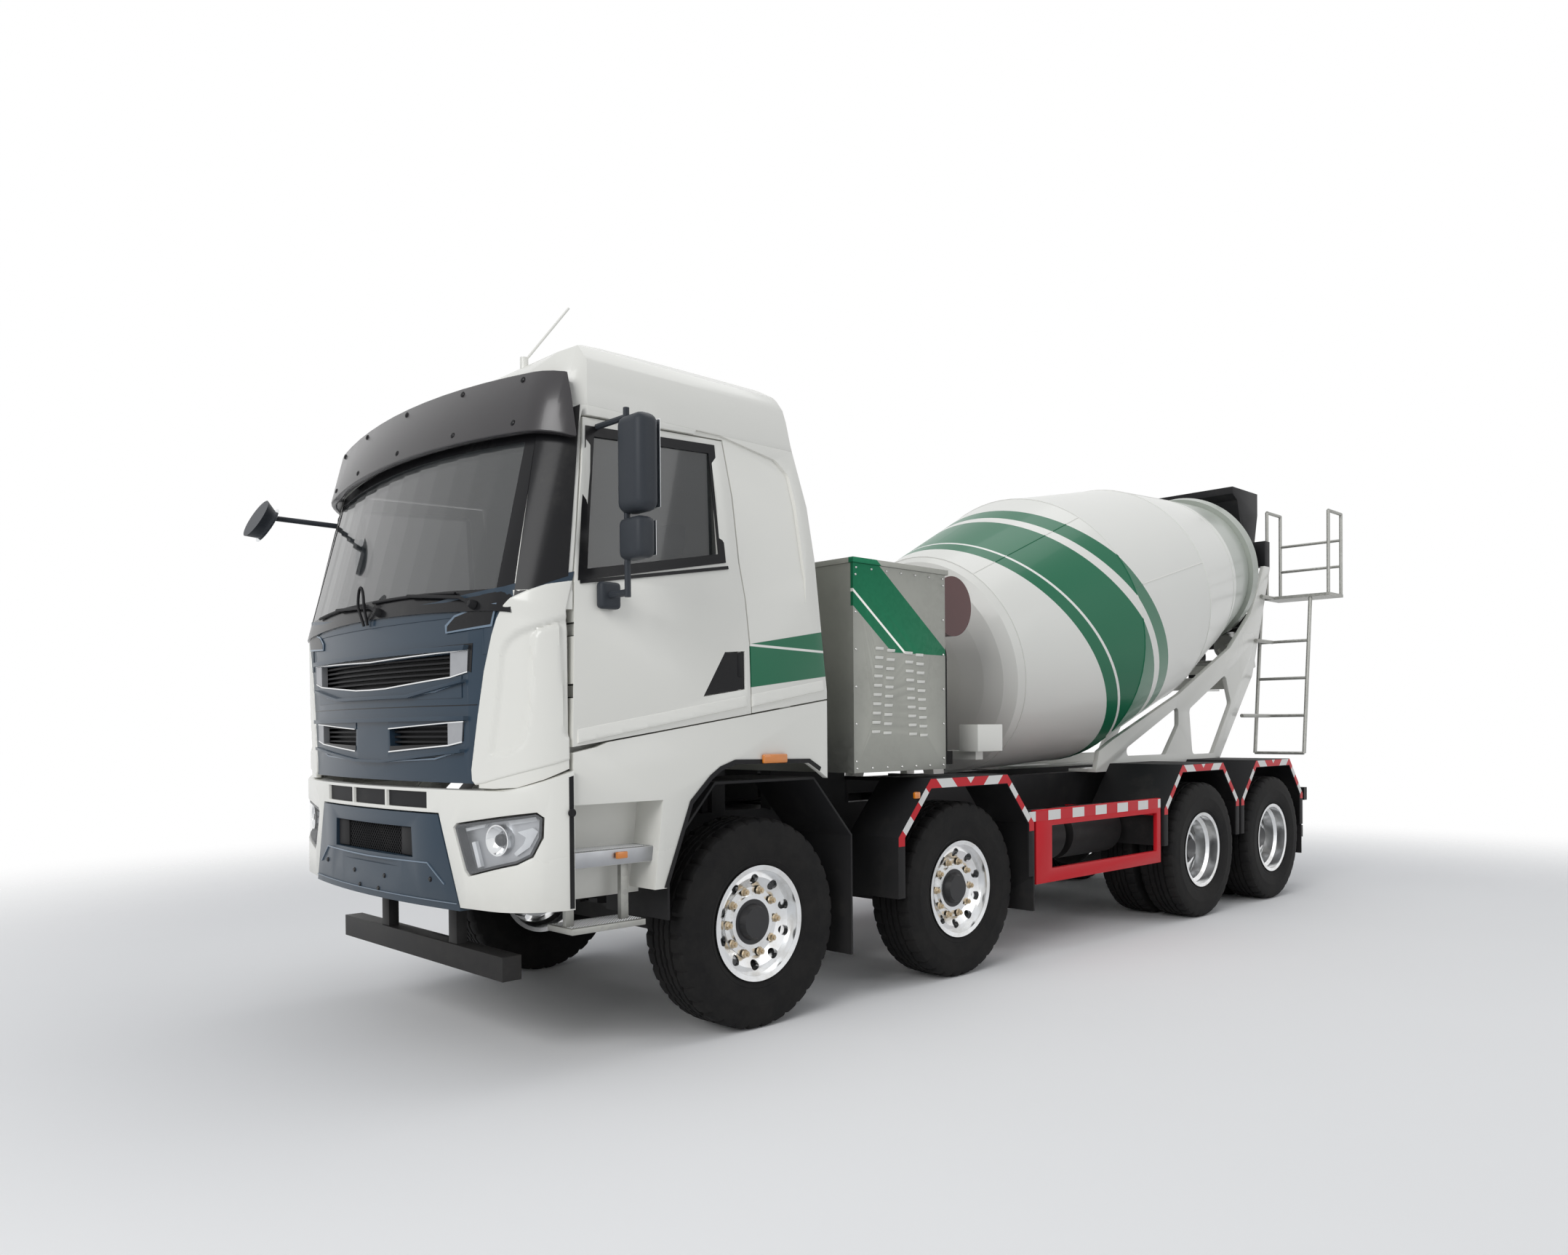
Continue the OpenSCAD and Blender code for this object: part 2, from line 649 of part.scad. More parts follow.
module rear_pedestal() color(white) from_axle() {
  both_sides() {
    difference() {
      slab(plate_y - 20, plate_y + 20) pedestal_outline();
      slab(plate_y - 30, plate_y + 30) offset(r = 40) polygon([[-4760, 1330], [-5380, 1330],
        [-5600, 1560], [-5600, 1660]]);
      // Window between the leg and the drum's roller
      slab(plate_y - 30, plate_y + 30) offset(r = 50) polygon([[-5950, 1330], [-6300, 1330],
        [-6650, 1760], [-6560, 1960], [-5900, 1660]]);
    }
    slab(plate_y - 60, plate_y + 20) polygon([[-4230, sub_top], [-6404, sub_top], [-6404, sub_top + 30],
      [-4230, sub_top + 30]]);
    block([-6400, rail_y - 80, sub_top + seat], [-4240, plate_y - 20, sub_top + 25]);
    // Roller's saddle on the cross beam
    on_drum(ring_s + ring_w / 2) rotate([0, 0, 180 + 27]) difference() {
      for (e = [-1, 1]) translate([ring_r + 210, 0, e * 100]) cube([220, 150, 30], center = true);
      translate([ring_r + 126, 0, -200]) cylinder(r = 35 + seat, h = 400);
    }
  }
  on_drum(ring_s + ring_w / 2) translate([-980, 0, -25]) cube([90, 2 * plate_y, 250], center = true);
  block([-7010, -plate_y, 1900], [-6930, plate_y, 2020]);
  // Arm and post of the chute
  block([post_x - 70, -70, post_z - 100], [-6940, 70, post_z]);
  translate([post_x, 0, post_z - 60]) cylinder(r = post_r, h = 150);
}

module drum_rollers() color(steel) from_axle() both_sides()
  on_drum(ring_s + ring_w / 2) rotate([0, 0, 180 + 27]) translate([ring_r + 125 + 1, 0, -80]) {
    cylinder(r = 125, h = 160);
    translate([0, 0, -55]) cylinder(r = 35, h = 270);
  }

module hopper_outline() {
  polygon([
    [-7110, hopper_top], [-7110, 3850], [-7215, 3800], [-7365, 3330],
    [-7600, 3330], [-7690, 3700], [-7690, hopper_top],
  ]);
}

// The feed hopper over the drum's mouth and the discharge hopper below it
module hoppers() color(black) from_axle() {
  t = 12;
  w = 450;
  difference() {
    slab(-w, w) hopper_outline();
    slab(-w + t, w - t) polygon([
      [-7110 - t, hopper_top + 5], [-7110 - t, 3850 + t], [-7224, 3800 + t], [-7378, 3320],
      [-7590, 3320], [-7690 + t, 3700], [-7690 + t, hopper_top + 5],
    ]);
  }
  both_sides() block([-7605, w - 5, 3145 + seat], [-7490, 610, 3400]);
  // Discharge hopper: a box with a slanting floor, open at its top and foot
  difference() {
    intersection() {
      slab(-420, 420) polygon([[-7355, 2530], [-7700, 2700], [-7700, 2460], [-7640, 2345],
        [-7480, 2345], [-7355, 2460]]);
      panel(-7800, -7300) polygon([[-420, 2800], [-420, 2500], [-170, 2340], [170, 2340], [420, 2500],
        [420, 2800]]);
    }
    intersection() {
      slab(-420, 420) polygon([
        [-7355 - t, 2720], [-7700 + t, 2720], [-7700 + t, 2462], [-7640 + t, 2347], [-7640 + t, 2330],
        [-7480 - t, 2330], [-7480 - t, 2347], [-7355 - t, 2462]
      ]);
      panel(-7800, -7300) polygon([
        [-420 + t, 2810], [-420 + t, 2503], [-170 + t, 2343], [-170 + t, 2320],
        [170 - t, 2320], [170 - t, 2343], [420 - t, 2503], [420 - t, 2810]
      ]);
    }
  }
  both_sides() block([-7420, 415, 2460], [-7225, plate_y - 20 - seat, 2520]);
}

// A ladder with its platform and hoops on the left of the rear
module ladder() color(steel) from_axle() {
  foot = [-7500, 1260];
  head = [-7670, deck_z];
  y0 = 500;
  y1 = 985;
  r = 18;
  for (y = [y0, y1]) bar([foot[0], y, foot[1]], [head[0], y, head[1]], r);
  for (i = [0:3]) bar_y(foot[0] + (head[0] - foot[0]) * i / 4.2, y0, y1,
    foot[1] + (head[1] - foot[1]) * i / 4.2, 15);
  block([-deck_rear - 4, y0 + 40, deck_z - 15], [-7640, 1180, deck_z + 15]);
  // A hoop at each end of the platform, joined by two mid rails
  for (y = [560, 1160]) {
    for (x = [-7660, -deck_rear]) bar([x, y, deck_z], [x, y, deck_z + 880 - (y > 600 ? 60 : 0)], hoop_r);
    bar([-7660, y, deck_z + 880 - (y > 600 ? 60 : 0)],
      [-deck_rear, y, deck_z + 880 - (y > 600 ? 60 : 0)], hoop_r);
  }
  for (z = [300, 560]) bar_y(-deck_rear, 560, 1160, deck_z + z, 14);
  // Arms to the rear pedestal
  for (a = [[-7540, -6900, 1634], [-7621, -7220, 2381], [-7660, -7360, deck_z]])
    bar([a[0], plate_y + 20 + r + seat, a[2]], [a[1], plate_y + 20 + r + seat, a[2]], r);
}

// A thick black lead from the cabinet's back down to the frame
module power_hose() color(black) from_axle() {
  r = 28;
  bend = 150;
  x = -1565;
  y = 980;
  z = 2130;
  translate([x - 40, y, z]) rotate([0, 90, 0]) cylinder(r = r, h = 40 - seat);
  translate([x - 40, y, z - bend]) rotate([90, 0, 0]) rotate_extrude(angle = 90, start = 90)
    translate([bend, 0]) circle(r = r, $fn = 24);
  translate([x - 40 - bend, y, 1392]) cylinder(r = r, h = z - bend - 1392 + 1);
  block([x - 230, y - 45, 1310], [x - seat, y + 45, 1394]);
}

// Cab

// The cab's side view, grown by o
module side_outline(o) {
  offset(delta = o) polygon([
    [1600, floor_z], [1600, screen_low], [1600, roof_low], [1330, roof_low], [1190, roof_top - 202],
    [1165, roof_top - 140], [1120, roof_top - 87], [1040, roof_top - 52], [920, roof_top - 34],
    [780, roof_top - 26], [200, roof_top - 10], [-24, roof_top], [-110, roof_top - 25], [-160, roof_top - 80],
    [-190, roof_top - 190], [-207, roof_top - 308], [-331, 2431], [-cab_rear, 1741], [-cab_rear, floor_z],
  ]);
}

// The whole cab above its floor as one solid, grown by o
module cab_form(o) {
  half = [
    [half_w + o, 1300], [half_w + o, 2700], [half_w - 45 + o, roof_low], [half_w - 72 + o, roof_top - 130],
    [half_w - 112 + o, roof_top - 60 + o], [half_w - 185, roof_top - 16 + o], [half_w - 330, roof_top + o],
  ];
  intersection() {
    union() {
      translate([0, 0, 1400 - o]) linear_extrude(screen_low - 1400 + o) plan(o);
      intersection() {
        raked() translate([0, 0, -400]) linear_extrude(2600) plan(o);
        block([-900, -half_w - 55, screen_low - 1], [1700, half_w + 55, 3400]);
      }
    }
    slab(-half_w - 55, half_w + 55) side_outline(o);
    panel(-900, 1700) polygon(concat(half, [for (i = [6:-1:0]) [-half[i][0], half[i][1]]]));
  }
}

// A door's outline, grown by o
module door_outline(o) {
  polygon([
    [1183 + o, seam_z(1183) - o], [1165 + o, 2215], [1080 + o, 2935 + o],
    [265 - o, 2965 + o], [door_rear_x - o, 1970], [door_rear_x - 10 - o, seam_z(door_rear_x) - o],
  ]);
}

module window_outline(o) {
  offset(r = 30 + o) offset(delta = -30) polygon([[1115, 2235], [1045, 2868], [345, 2905], [308, 2385]]);
}

// What is cut from the cab's side above its shoulder, so that the windows stand in from it
module side_recess() {
  panel(-600, 1500) polygon([
    [half_w + 60, 2190], [half_w, 2190], [half_w - 20, 2370], [half_w - 22, 2690],
    [half_w - 60, 3000], [half_w + 60, 3000],
  ]);
}

// How far back the side's recess runs behind the door
module quarter_outline() {
  offset(r = 60) offset(delta = -60) polygon([[450, 2120], [450, 3020], [-80, 2925], [-165, 2860],
    [-262, 2330], [-262, 2120]]);
}

// The windscreen's outline seen from the front
module screen_outline(o) {
  a = half_w - 135;
  b = half_w - 205;
  polygon([[-a - o, -60 - o], [a + o, -60 - o], [b + o, 790 + o], [-b - o, 790 + o]]);
}

// The cab below its roof, hollow, with its doorways and windscreen cut and its front left open
module cab_shell() color(white) from_axle() {
  difference() {
    cab_form(0);
    cab_form(-wall);
    block([-900, -half_w - 55, roof_low], [1700, half_w + 55, 3500]);
    both_sides() slab(half_w - wall - 200, half_w + 100) door_outline(panel_gap);
    both_sides() slab(half_w - wall - 200, half_w + 100) polygon([
      [1200, 1000], [1200, seam_z(1200)], [-900, seam_z(-900)], [-900, 1000]
    ]);
    raked() {
      panel(1000, 1900) screen_outline(-30);
      intersection() {
        translate([0, 0, -300]) linear_extrude(1300) skin(-22 - seat, 40);
        panel(1000, 1900) screen_outline(panel_gap / 2);
      }
    }
    both_sides() intersection() {
      side_recess();
      slab(half_w - 150, half_w + 100) quarter_outline();
    }
    // Front panels take the place of the skin below the windscreen
    block([1175, -half_w - 55, 1300], [1700, half_w + 55, screen_low - 80]);
  }
  // Floor, bulkhead with its cowl, and the arms of the tilting pins
  floor_y = half_w - 105;
  wing_y = half_w - 245;
  block([-cab_rear + 1, -floor_y, floor_z], [1180, floor_y, floor_z + floor_h]);
  block([1170, -wing_y, floor_z], [1330, wing_y, floor_z + floor_h]);
  block([1240, -wing_y, floor_z], [1330, wing_y, screen_low - 62]);
  intersection() {
    block([1240, -wing_y, screen_low - 110], [1700, wing_y, screen_low - 62]);
    translate([0, 0, 1400]) linear_extrude(1000) plan(-60 - seat);
  }
  both_sides() difference() {
    union() {
      bar_y(tilt_x, lug_y, lug_y + lug_w, tilt_z, 40);
      slab(lug_y, lug_y + lug_w) polygon([
        [tilt_x + 14, tilt_z + 13], [tilt_x - 28, tilt_z - 26], [940, floor_z + 1], [1005, floor_z + 1]
      ]);
    }
    bar_y(tilt_x, lug_y - 10, lug_y + lug_w + 10, tilt_z, tilt_pin_r + fit);
  }
  // Hinge arms from the bulkhead, each with a pin that its door turns on
  both_sides() for (z = hinge_zs) {
    block([1240, half_w - 255, z], [1295, half_w - 135, z + hinge_h]);
    block([hinge_x - 10, half_w - 150, z], [1250, half_w - 95, z + hinge_h]);
    block([hinge_x - 10, half_w - 145, z], [hinge_x + 10, hinge_y, z + hinge_h]);
    translate([hinge_x, hinge_y, z]) cylinder(r = 10, h = hinge_h);
    translate([hinge_x, hinge_y, z - 40]) cylinder(r = pin_r, h = hinge_h + 80);
  }
  // Strikers that the doors close on
  both_sides() {
    block([60, half_w - wall - 40, 1780], [120, half_w - wall + 20, 1900]);
    block([60, half_w - wall - 40, 1780], [190, half_w - wall - seat, 1900]);
  }
}

module cab_roof() color(white) from_axle() {
  difference() {
    cab_form(0);
    difference() {
      cab_form(-wall);
      block([-900, -half_w - 55, 1000], [1700, half_w + 55, roof_low - 10]);
    }
    block([-900, -half_w - 55, 1000], [1700, half_w + 55, roof_low + seat]);
  }
  // Aerial on the left of the roof
  bar([1100, 740, roof_top - 132], [1100, 740, roof_top - 32], 20);
  bar([1100, 740, roof_top - 52], [850, 740, roof_top + 263], 6);
}

// Curved seam between the slate front panel and a corner panel, from below up, moved out by o
function front_seam(o) = [
  [half_w - 376 + o, front_low], [half_w - 342 + o, 1597], [half_w - 296 + o, 1807],
  [half_w - 247 + o, 1957], [half_w - 197 + o, screen_low - 85],
];

// Outline of the slate front panel
module grille_outline() {
  seam = front_seam(0);
  left = [for (i = [4:-1:0]) [-seam[i][0], seam[i][1]]];
  polygon(concat(seam, left));
}

// Openings in the front panel: a wide one above, two below
module grille_openings(o) {
  offset(delta = o) {
    a = half_w - 521;
    b = half_w - 412;
    polygon([
      [-b, 1808], [-a, 1787], [-170, 1752], [170, 1752], [a, 1787], [b, 1808],
      [b + 2, 1896], [a, 1894], [0, 1880], [-a, 1894], [-b - 2, 1896],
    ]);
    for (s = [-1, 1]) polygon([
      [s * 195, 1452], [s * (a - 20), 1481], [s * (b - 29), 1497], [s * (b - 23), 1580],
        [s * (a - 20), 1577], [s * 190, 1557],
    ]);
  }
}

// Room for the windscreen's lower edge above the front panels
module screen_room() {
  raked() panel(1000, 1900) screen_outline(panel_gap);
}

module grille_panel() color(slate) from_axle() difference() {
  union() {
    intersection() {
      translate([0, 0, front_low]) linear_extrude(screen_low - front_low) skin(-60, 0);
      panel(1000, 1700) grille_outline();
    }
    // Lips above and below the openings
    intersection() {
      translate([0, 0, front_low]) linear_extrude(screen_low - front_low) skin(-10, 26);
      panel(1000, 1700) {
        a = half_w - 405;
        polygon([[-400, 1700], [400, 1700], [a - 14, 1760], [a - 14, 1774], [400, 1716], [-400, 1716],
          [14 - a, 1774], [14 - a, 1760]]);
        polygon([[-a, 1902], [a, 1902], [a + 10, 1925], [-a - 10, 1925]]);
        polygon([[-150, 1394], [150, 1394], [a - 30, 1448], [a - 30, 1462], [150, 1408], [-150, 1408],
          [30 - a, 1462], [30 - a, 1448]]);
        polygon([[-a, 1590], [a, 1590], [a, 1610], [-a, 1610]]);
      }
    }
  }
  panel(1000, 1700) grille_openings(0);
  screen_room();
}

// Slats and a dark back behind the front panel's openings
module grille_mesh() color(black) from_axle() {
  intersection() {
    translate([0, 0, front_low]) linear_extrude(screen_low - front_low) skin(-110, -60 - seat);
    panel(1000, 1700) polygon([
      [415 - half_w, 1440], [half_w - 415, 1440], [half_w - 395, 1910], [395 - half_w, 1910]
    ]);
  }
  intersection() {
    translate([0, 0, front_low]) linear_extrude(screen_low - front_low) skin(-70, -25);
    panel(1000, 1700) intersection() {
      grille_openings(-seat);
      for (z = [1466:24:1876]) translate([-half_w, z]) square([2 * half_w, 9]);
    }
  }
  block([1330 + seat, 425 - half_w, 1700], [1400, half_w - 425, 1780]);
}

module corner_outline() {
  polygon(concat(
    [[half_w - 135, screen_low + 20], [half_w + 55, screen_low + 60], [half_w + 55, front_low + 100]],
    front_seam(panel_gap)
  ));
}

module corner_panels() color(white) from_axle() both_sides() {
  difference() {
    intersection() {
      translate([0, 0, 1250]) linear_extrude(screen_low - 1250 - 85) skin(-60, 0);
      panel(1195, 1700) corner_outline();
    }
    // Hollow in which the upright vane stands
    intersection() {
      translate([0, 0, 1400]) linear_extrude(600) skin(-18, 40);
      panel(1195, 1700) translate([half_w, 0]) polygon([
        [-270, 1428], [-161, 1438], [-110, 1481], [-93, 1538], [-83, 1651], [-75, 1839], [-68, 1975],
        [-121, 1960], [-163, 1928], [-187, 1892], [-217, 1652], [-255, 1463],
      ]);
    }
    screen_room();
  }
  block([1240, half_w - 245 + seat, 1800], [1330, half_w - 125, 1880]);
}

module windscreen() color(glass) from_axle() intersection() {
  raked() translate([0, 0, -300]) linear_extrude(1300) skin(-22, -4);
  raked() panel(1000, 1900) screen_outline(0);
}

module sun_visor() color([0.25, 0.24, 0.24]) from_axle() {
  intersection() {
    raked() translate([0, 0, 740]) linear_extrude(330) skin(30, 62);
    raked() panel(1000, 1900) translate([-half_w - 90, 752]) square([2 * half_w + 180, 290]);
    block([1147, -half_w - 160, 2700], [1800, half_w + 160, 3300]);
  }
  // Brackets to the cab's header
  for (y = [445 - half_w, -270, 270, half_w - 445]) intersection() {
    raked() translate([0, 0, 800]) linear_extrude(40) skin(seat, 40);
    block([1000, y - 25, 2800], [1700, y + 25, 3200]);
  }
}

module dashboard() color(black) from_axle() {
  slab(165 - half_w, half_w - 165) polygon([[1050, 1600], [1240 - seat, 1500], [1240 - seat, 2030],
    [1180, 2080], [1010, 2060], [980, 1900]]);
  // Steering column and wheel on the left
  bar([1020, 560, 1900], [880, 560, 2080], 35);
  translate([870, 560, 2090]) rotate([0, -35, 0]) {
    rotate_extrude() translate([215, 0]) circle(r = 16, $fn = 24);
    for (a = [0, 120, 240]) rotate([0, 90, a]) cylinder(r = 12, h = 215);
    cylinder(r = 60, h = 34, center = true);
  }
}

module seats() color([0.30, 0.30, 0.32]) from_axle() both_sides() {
  block([330, 400, floor_z + floor_h + seat], [650, 720, 1800]);
  slab(330, 800) polygon([[230, 1790], [780, 1790], [790, 1900], [330, 1900], [190, 2640], [70, 2620]]);
}

// A round mirror on an arm from the right-hand end of the visor's line
module front_mirror() color(black) from_axle() {
  y = -half_w - 55;
  a = [1128, -half_w + 35.1, 2760];
  b = [mirror_x, y, 2780];
  bar(a, b, 15);
  translate([mirror_x, y, 2735]) rotate([0, mirror_tip, 0]) cylinder(r1 = 0.75 * mirror_r, r2 = mirror_r,
    h = mirror_h);
  bar(b, [mirror_x + 40, y, 2745], 15);
}

// Doors

module door(side) color(white) from_axle() on_side(side) {
  difference() {
    slab(half_w - wall, half_w) door_outline(0);
    slab(half_w - wall - 1, half_w + 1) window_outline(0);
    // Hinge pockets, open to the inside and the front, and the bores of the pins
    for (z = hinge_zs) {
      block([hinge_x - 16, half_w - wall - 1, z - 6], [1300, half_w - 4, z + hinge_h + 6]);
      translate([hinge_x, hinge_y, z - 41]) cylinder(r = pin_r + fit, h = hinge_h + 82);
    }
    // Handle's pocket, and the recess of the frame round the window
    slab(half_w - 30, half_w + 1) polygon([[440, 1700], [168, 1740], [170, 1930], [300, 1920]]);
    side_recess();
  }
  slab(half_w - 28, half_w - 8) polygon([[420, 1800], [190, 1835], [190, 1875], [400, 1845]]);
  slab(half_w - 32, half_w - 8) polygon([[210, 1735], [190, 1738], [190, 1930], [210, 1925]]);
}

module door_glass(side) color(glass) from_axle() on_side(side)
  slab(half_w - 58, half_w - 50) window_outline(-seat);

// Two mirrors on a rod, held to the door above and below its window
module mirror_arm(side) color(black) from_axle() on_side(side) {
  x = 1010;
  y = half_w + 175;
  block([x - 75, y - 30, 2480], [x + 45, y + 150, 2900]);
  block([x - 65, y - 30, 2280], [x + 35, y + 130, 2460]);
  bar([x, y, 2120], [x, y, 2940], 14);
  bar([x, y, 2900], [x, half_w - 46 + seat, 2900], 14);
  bar([x, y, 2140], [x, half_w + 20, 2140], 16);
  block([950, half_w + seat, 2080], [1060, half_w + 50, 2200]);
}

// Drum

// The drum's outline in radius and place along its axis, t in from its outside
module drum_outline(t) {
  dome = 240;
  polygon(concat(
    [[0, head_s - dome + t]],
    [for (a = [15:15:75]) [(head_r - t) * sin(a), head_s - (dome - t) * cos(a)]],
    [
      [head_r - t, head_s], [drum_r - t, 0], [cone_r - t, cone_s],
      [neck_r - t, ring_s], [neck_r - t - 20, ring_s + ring_w], [mouth_r - t, mouth_s + (t > 0 ? 1 : 0)],
      [0, mouth_s + (t > 0 ? 1 : 0)],
    ]
  ));
}

module drum() color(white) from_axle() on_drum() {
  rotate_extrude($fn = 144) difference() {
    drum_outline(0);
    drum_outline(drum_wall);
  }
  // Ring that runs on the rollers, lip of the mouth, and the shaft in the reducer
  rotate_extrude($fn = 144) translate([neck_r - 22, ring_s]) square([ring_r - neck_r + 22, ring_w]);
  rotate_extrude($fn = 144) translate([mouth_r - 4, mouth_s - 30]) square([22, 30]);
  translate([0, 0, shaft_s - 250]) cylinder(r = shaft_r, h = 262);
}

// Chute, swung to the right as it is stowed

module chute_bracket() color(black) from_axle() translate([post_x, 0, 0]) {
  difference() {
    union() {
      translate([0, 0, post_z + 1]) cylinder(r = 80, h = 84);
      block([-110, chute_hinge_y - 40, post_z + 1], [110, 0, post_z + 60]);
    }
    translate([0, 0, post_z - 10]) cylinder(r = post_r + fit, h = 150);
  }
  for (s = [-1, 1]) difference() {
    block([s * 150 - 15 * s - 12, chute_hinge_y - 35, post_z + 2],
      [s * 150 - 15 * s + 12, chute_hinge_y + 35, chute_hinge_z + 35]);
    translate([-300, chute_hinge_y, chute_hinge_z]) rotate([0, 90, 0]) cylinder(r = chute_pin_r + fit,
      h = 600);
  }
  block([-147, chute_hinge_y - 35, post_z + 2], [147, chute_hinge_y + 35, post_z + 50]);
}

// An open trough that hangs from its hinge and slopes down to its end
module chute_trough() color(black) from_axle() translate([post_x, chute_hinge_y, chute_hinge_z]) {
  t = 10;
  slope = 22;
  rotate([slope, 0, 0]) {
    translate([0, 60, chute_r + 45]) rotate([90, 0, 0]) difference() {
      cylinder(r = chute_r, h = 1080);
      translate([0, 0, -1]) cylinder(r = chute_r - t, h = 1082);
      translate([-300, -60, -1]) cube([600, 400, 1082]);
    }
    block([-60, -30, 12], [60, 30, 50]);
  }
  translate([-156, 0, 0]) rotate([0, 90, 0]) cylinder(r = chute_pin_r, h = 312);
  rotate([0, 90, 0]) cylinder(r = 26, h = 220, center = true);
}

chassis_frame();
bumper();
bumper_centre();
lamps();
underrun_bars();
cab_fenders();
steer_axles();
drive_axles();
leaf_springs();
drive_motor();
mudguards();
side_guards();
power_cabinet();
water_tank();
drum_drive();
rear_pedestal();
drum_rollers();
hoppers();
ladder();
power_hose();
cab_shell();
cab_roof();
grille_panel();
grille_mesh();
corner_panels();
windscreen();
sun_visor();
dashboard();
seats();
front_mirror();
door(1);  // door_left
door(-1);  // door_right
door_glass(1);  // door_glass_left
door_glass(-1);  // door_glass_right
mirror_arm(1);  // mirror_left
mirror_arm(-1);  // mirror_right
drum();
chute_bracket();
chute_trough();
knuckle(0, 1);  // knuckle_1_left
knuckle(0, -1);  // knuckle_1_right
knuckle(1, 1);  // knuckle_2_left
knuckle(1, -1);  // knuckle_2_right
front_tyre(0, 1);  // tyre_1_left
front_tyre(0, -1);  // tyre_1_right
front_tyre(1, 1);  // tyre_2_left
front_tyre(1, -1);  // tyre_2_right
rear_tyres(2, 1);  // tyre_3_left
rear_tyres(2, -1);  // tyre_3_right
rear_tyres(3, 1);  // tyre_4_left
rear_tyres(3, -1);  // tyre_4_right
front_wheel(0, 1);  // wheel_1_left
front_wheel(0, -1);  // wheel_1_right
front_wheel(1, 1);  // wheel_2_left
front_wheel(1, -1);  // wheel_2_right
rear_wheels(2, 1);  // wheel_3_left
rear_wheels(2, -1);  // wheel_3_right
rear_wheels(3, 1);  // wheel_4_left
rear_wheels(3, -1);  // wheel_4_right
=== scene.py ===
"""Looks of the concrete mixer truck: finishes, tyres, fittings, glass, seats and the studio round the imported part."""

import json
import math

import bmesh
import bpy
from mathutils import Matrix, Vector


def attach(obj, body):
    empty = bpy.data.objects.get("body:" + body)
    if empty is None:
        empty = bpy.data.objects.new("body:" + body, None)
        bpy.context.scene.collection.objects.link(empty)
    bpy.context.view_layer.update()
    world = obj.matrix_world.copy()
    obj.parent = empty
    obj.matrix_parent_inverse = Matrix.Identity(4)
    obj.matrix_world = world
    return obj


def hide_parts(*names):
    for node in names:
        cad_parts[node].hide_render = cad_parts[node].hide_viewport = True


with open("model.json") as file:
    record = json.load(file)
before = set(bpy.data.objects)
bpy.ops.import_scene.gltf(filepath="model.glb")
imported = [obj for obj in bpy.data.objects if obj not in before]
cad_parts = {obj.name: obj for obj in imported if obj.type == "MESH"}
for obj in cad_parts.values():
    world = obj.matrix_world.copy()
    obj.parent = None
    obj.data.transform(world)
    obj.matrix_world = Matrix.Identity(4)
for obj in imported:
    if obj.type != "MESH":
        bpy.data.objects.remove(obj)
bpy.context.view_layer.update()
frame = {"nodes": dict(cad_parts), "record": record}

# Places, in millimetres from the first axle, as the part's source gives them
AXLE_1 = 3.163928
AXLES = [0, -1700, -4800, -6150]
AXLE_Z = 542
HALF_W = 1245
FRONT_TRACK = 1025
REAR_TRACK = 930
TWIN_GAP = 340
CAB_FRONT = 1533
SCREEN_LOW = 2150
SCREEN_RAKE = math.radians(15)
BOW_R, BOW_CORNER = 5000, 300
DRUM_SLOPE = math.radians(14.85)
DRUM_MID = (-4088, 0, 2329)
SIDES = (("left", 1), ("right", -1))
BODY_OF = {node: body for body, nodes in frame["record"]["behaviour"]["bodies"].items() for node in nodes}
SLOT_OF = {row["node"]: row["material_slot"] for row in frame["record"]["subparts"]}


def at(x, y, z):
    """A point of the truck in metres from millimetres off the first axle."""
    return Vector((x / 1000 + AXLE_1, y / 1000, z / 1000))


def shown(name, data):
    """A new object in the scene."""
    obj = bpy.data.objects.new(name, data)
    bpy.context.scene.collection.objects.link(obj)
    return obj


def times(colour, factor):
    """A colour made lighter or darker, at most 1."""
    return tuple(min(1, c * factor) for c in colour)


# Materials


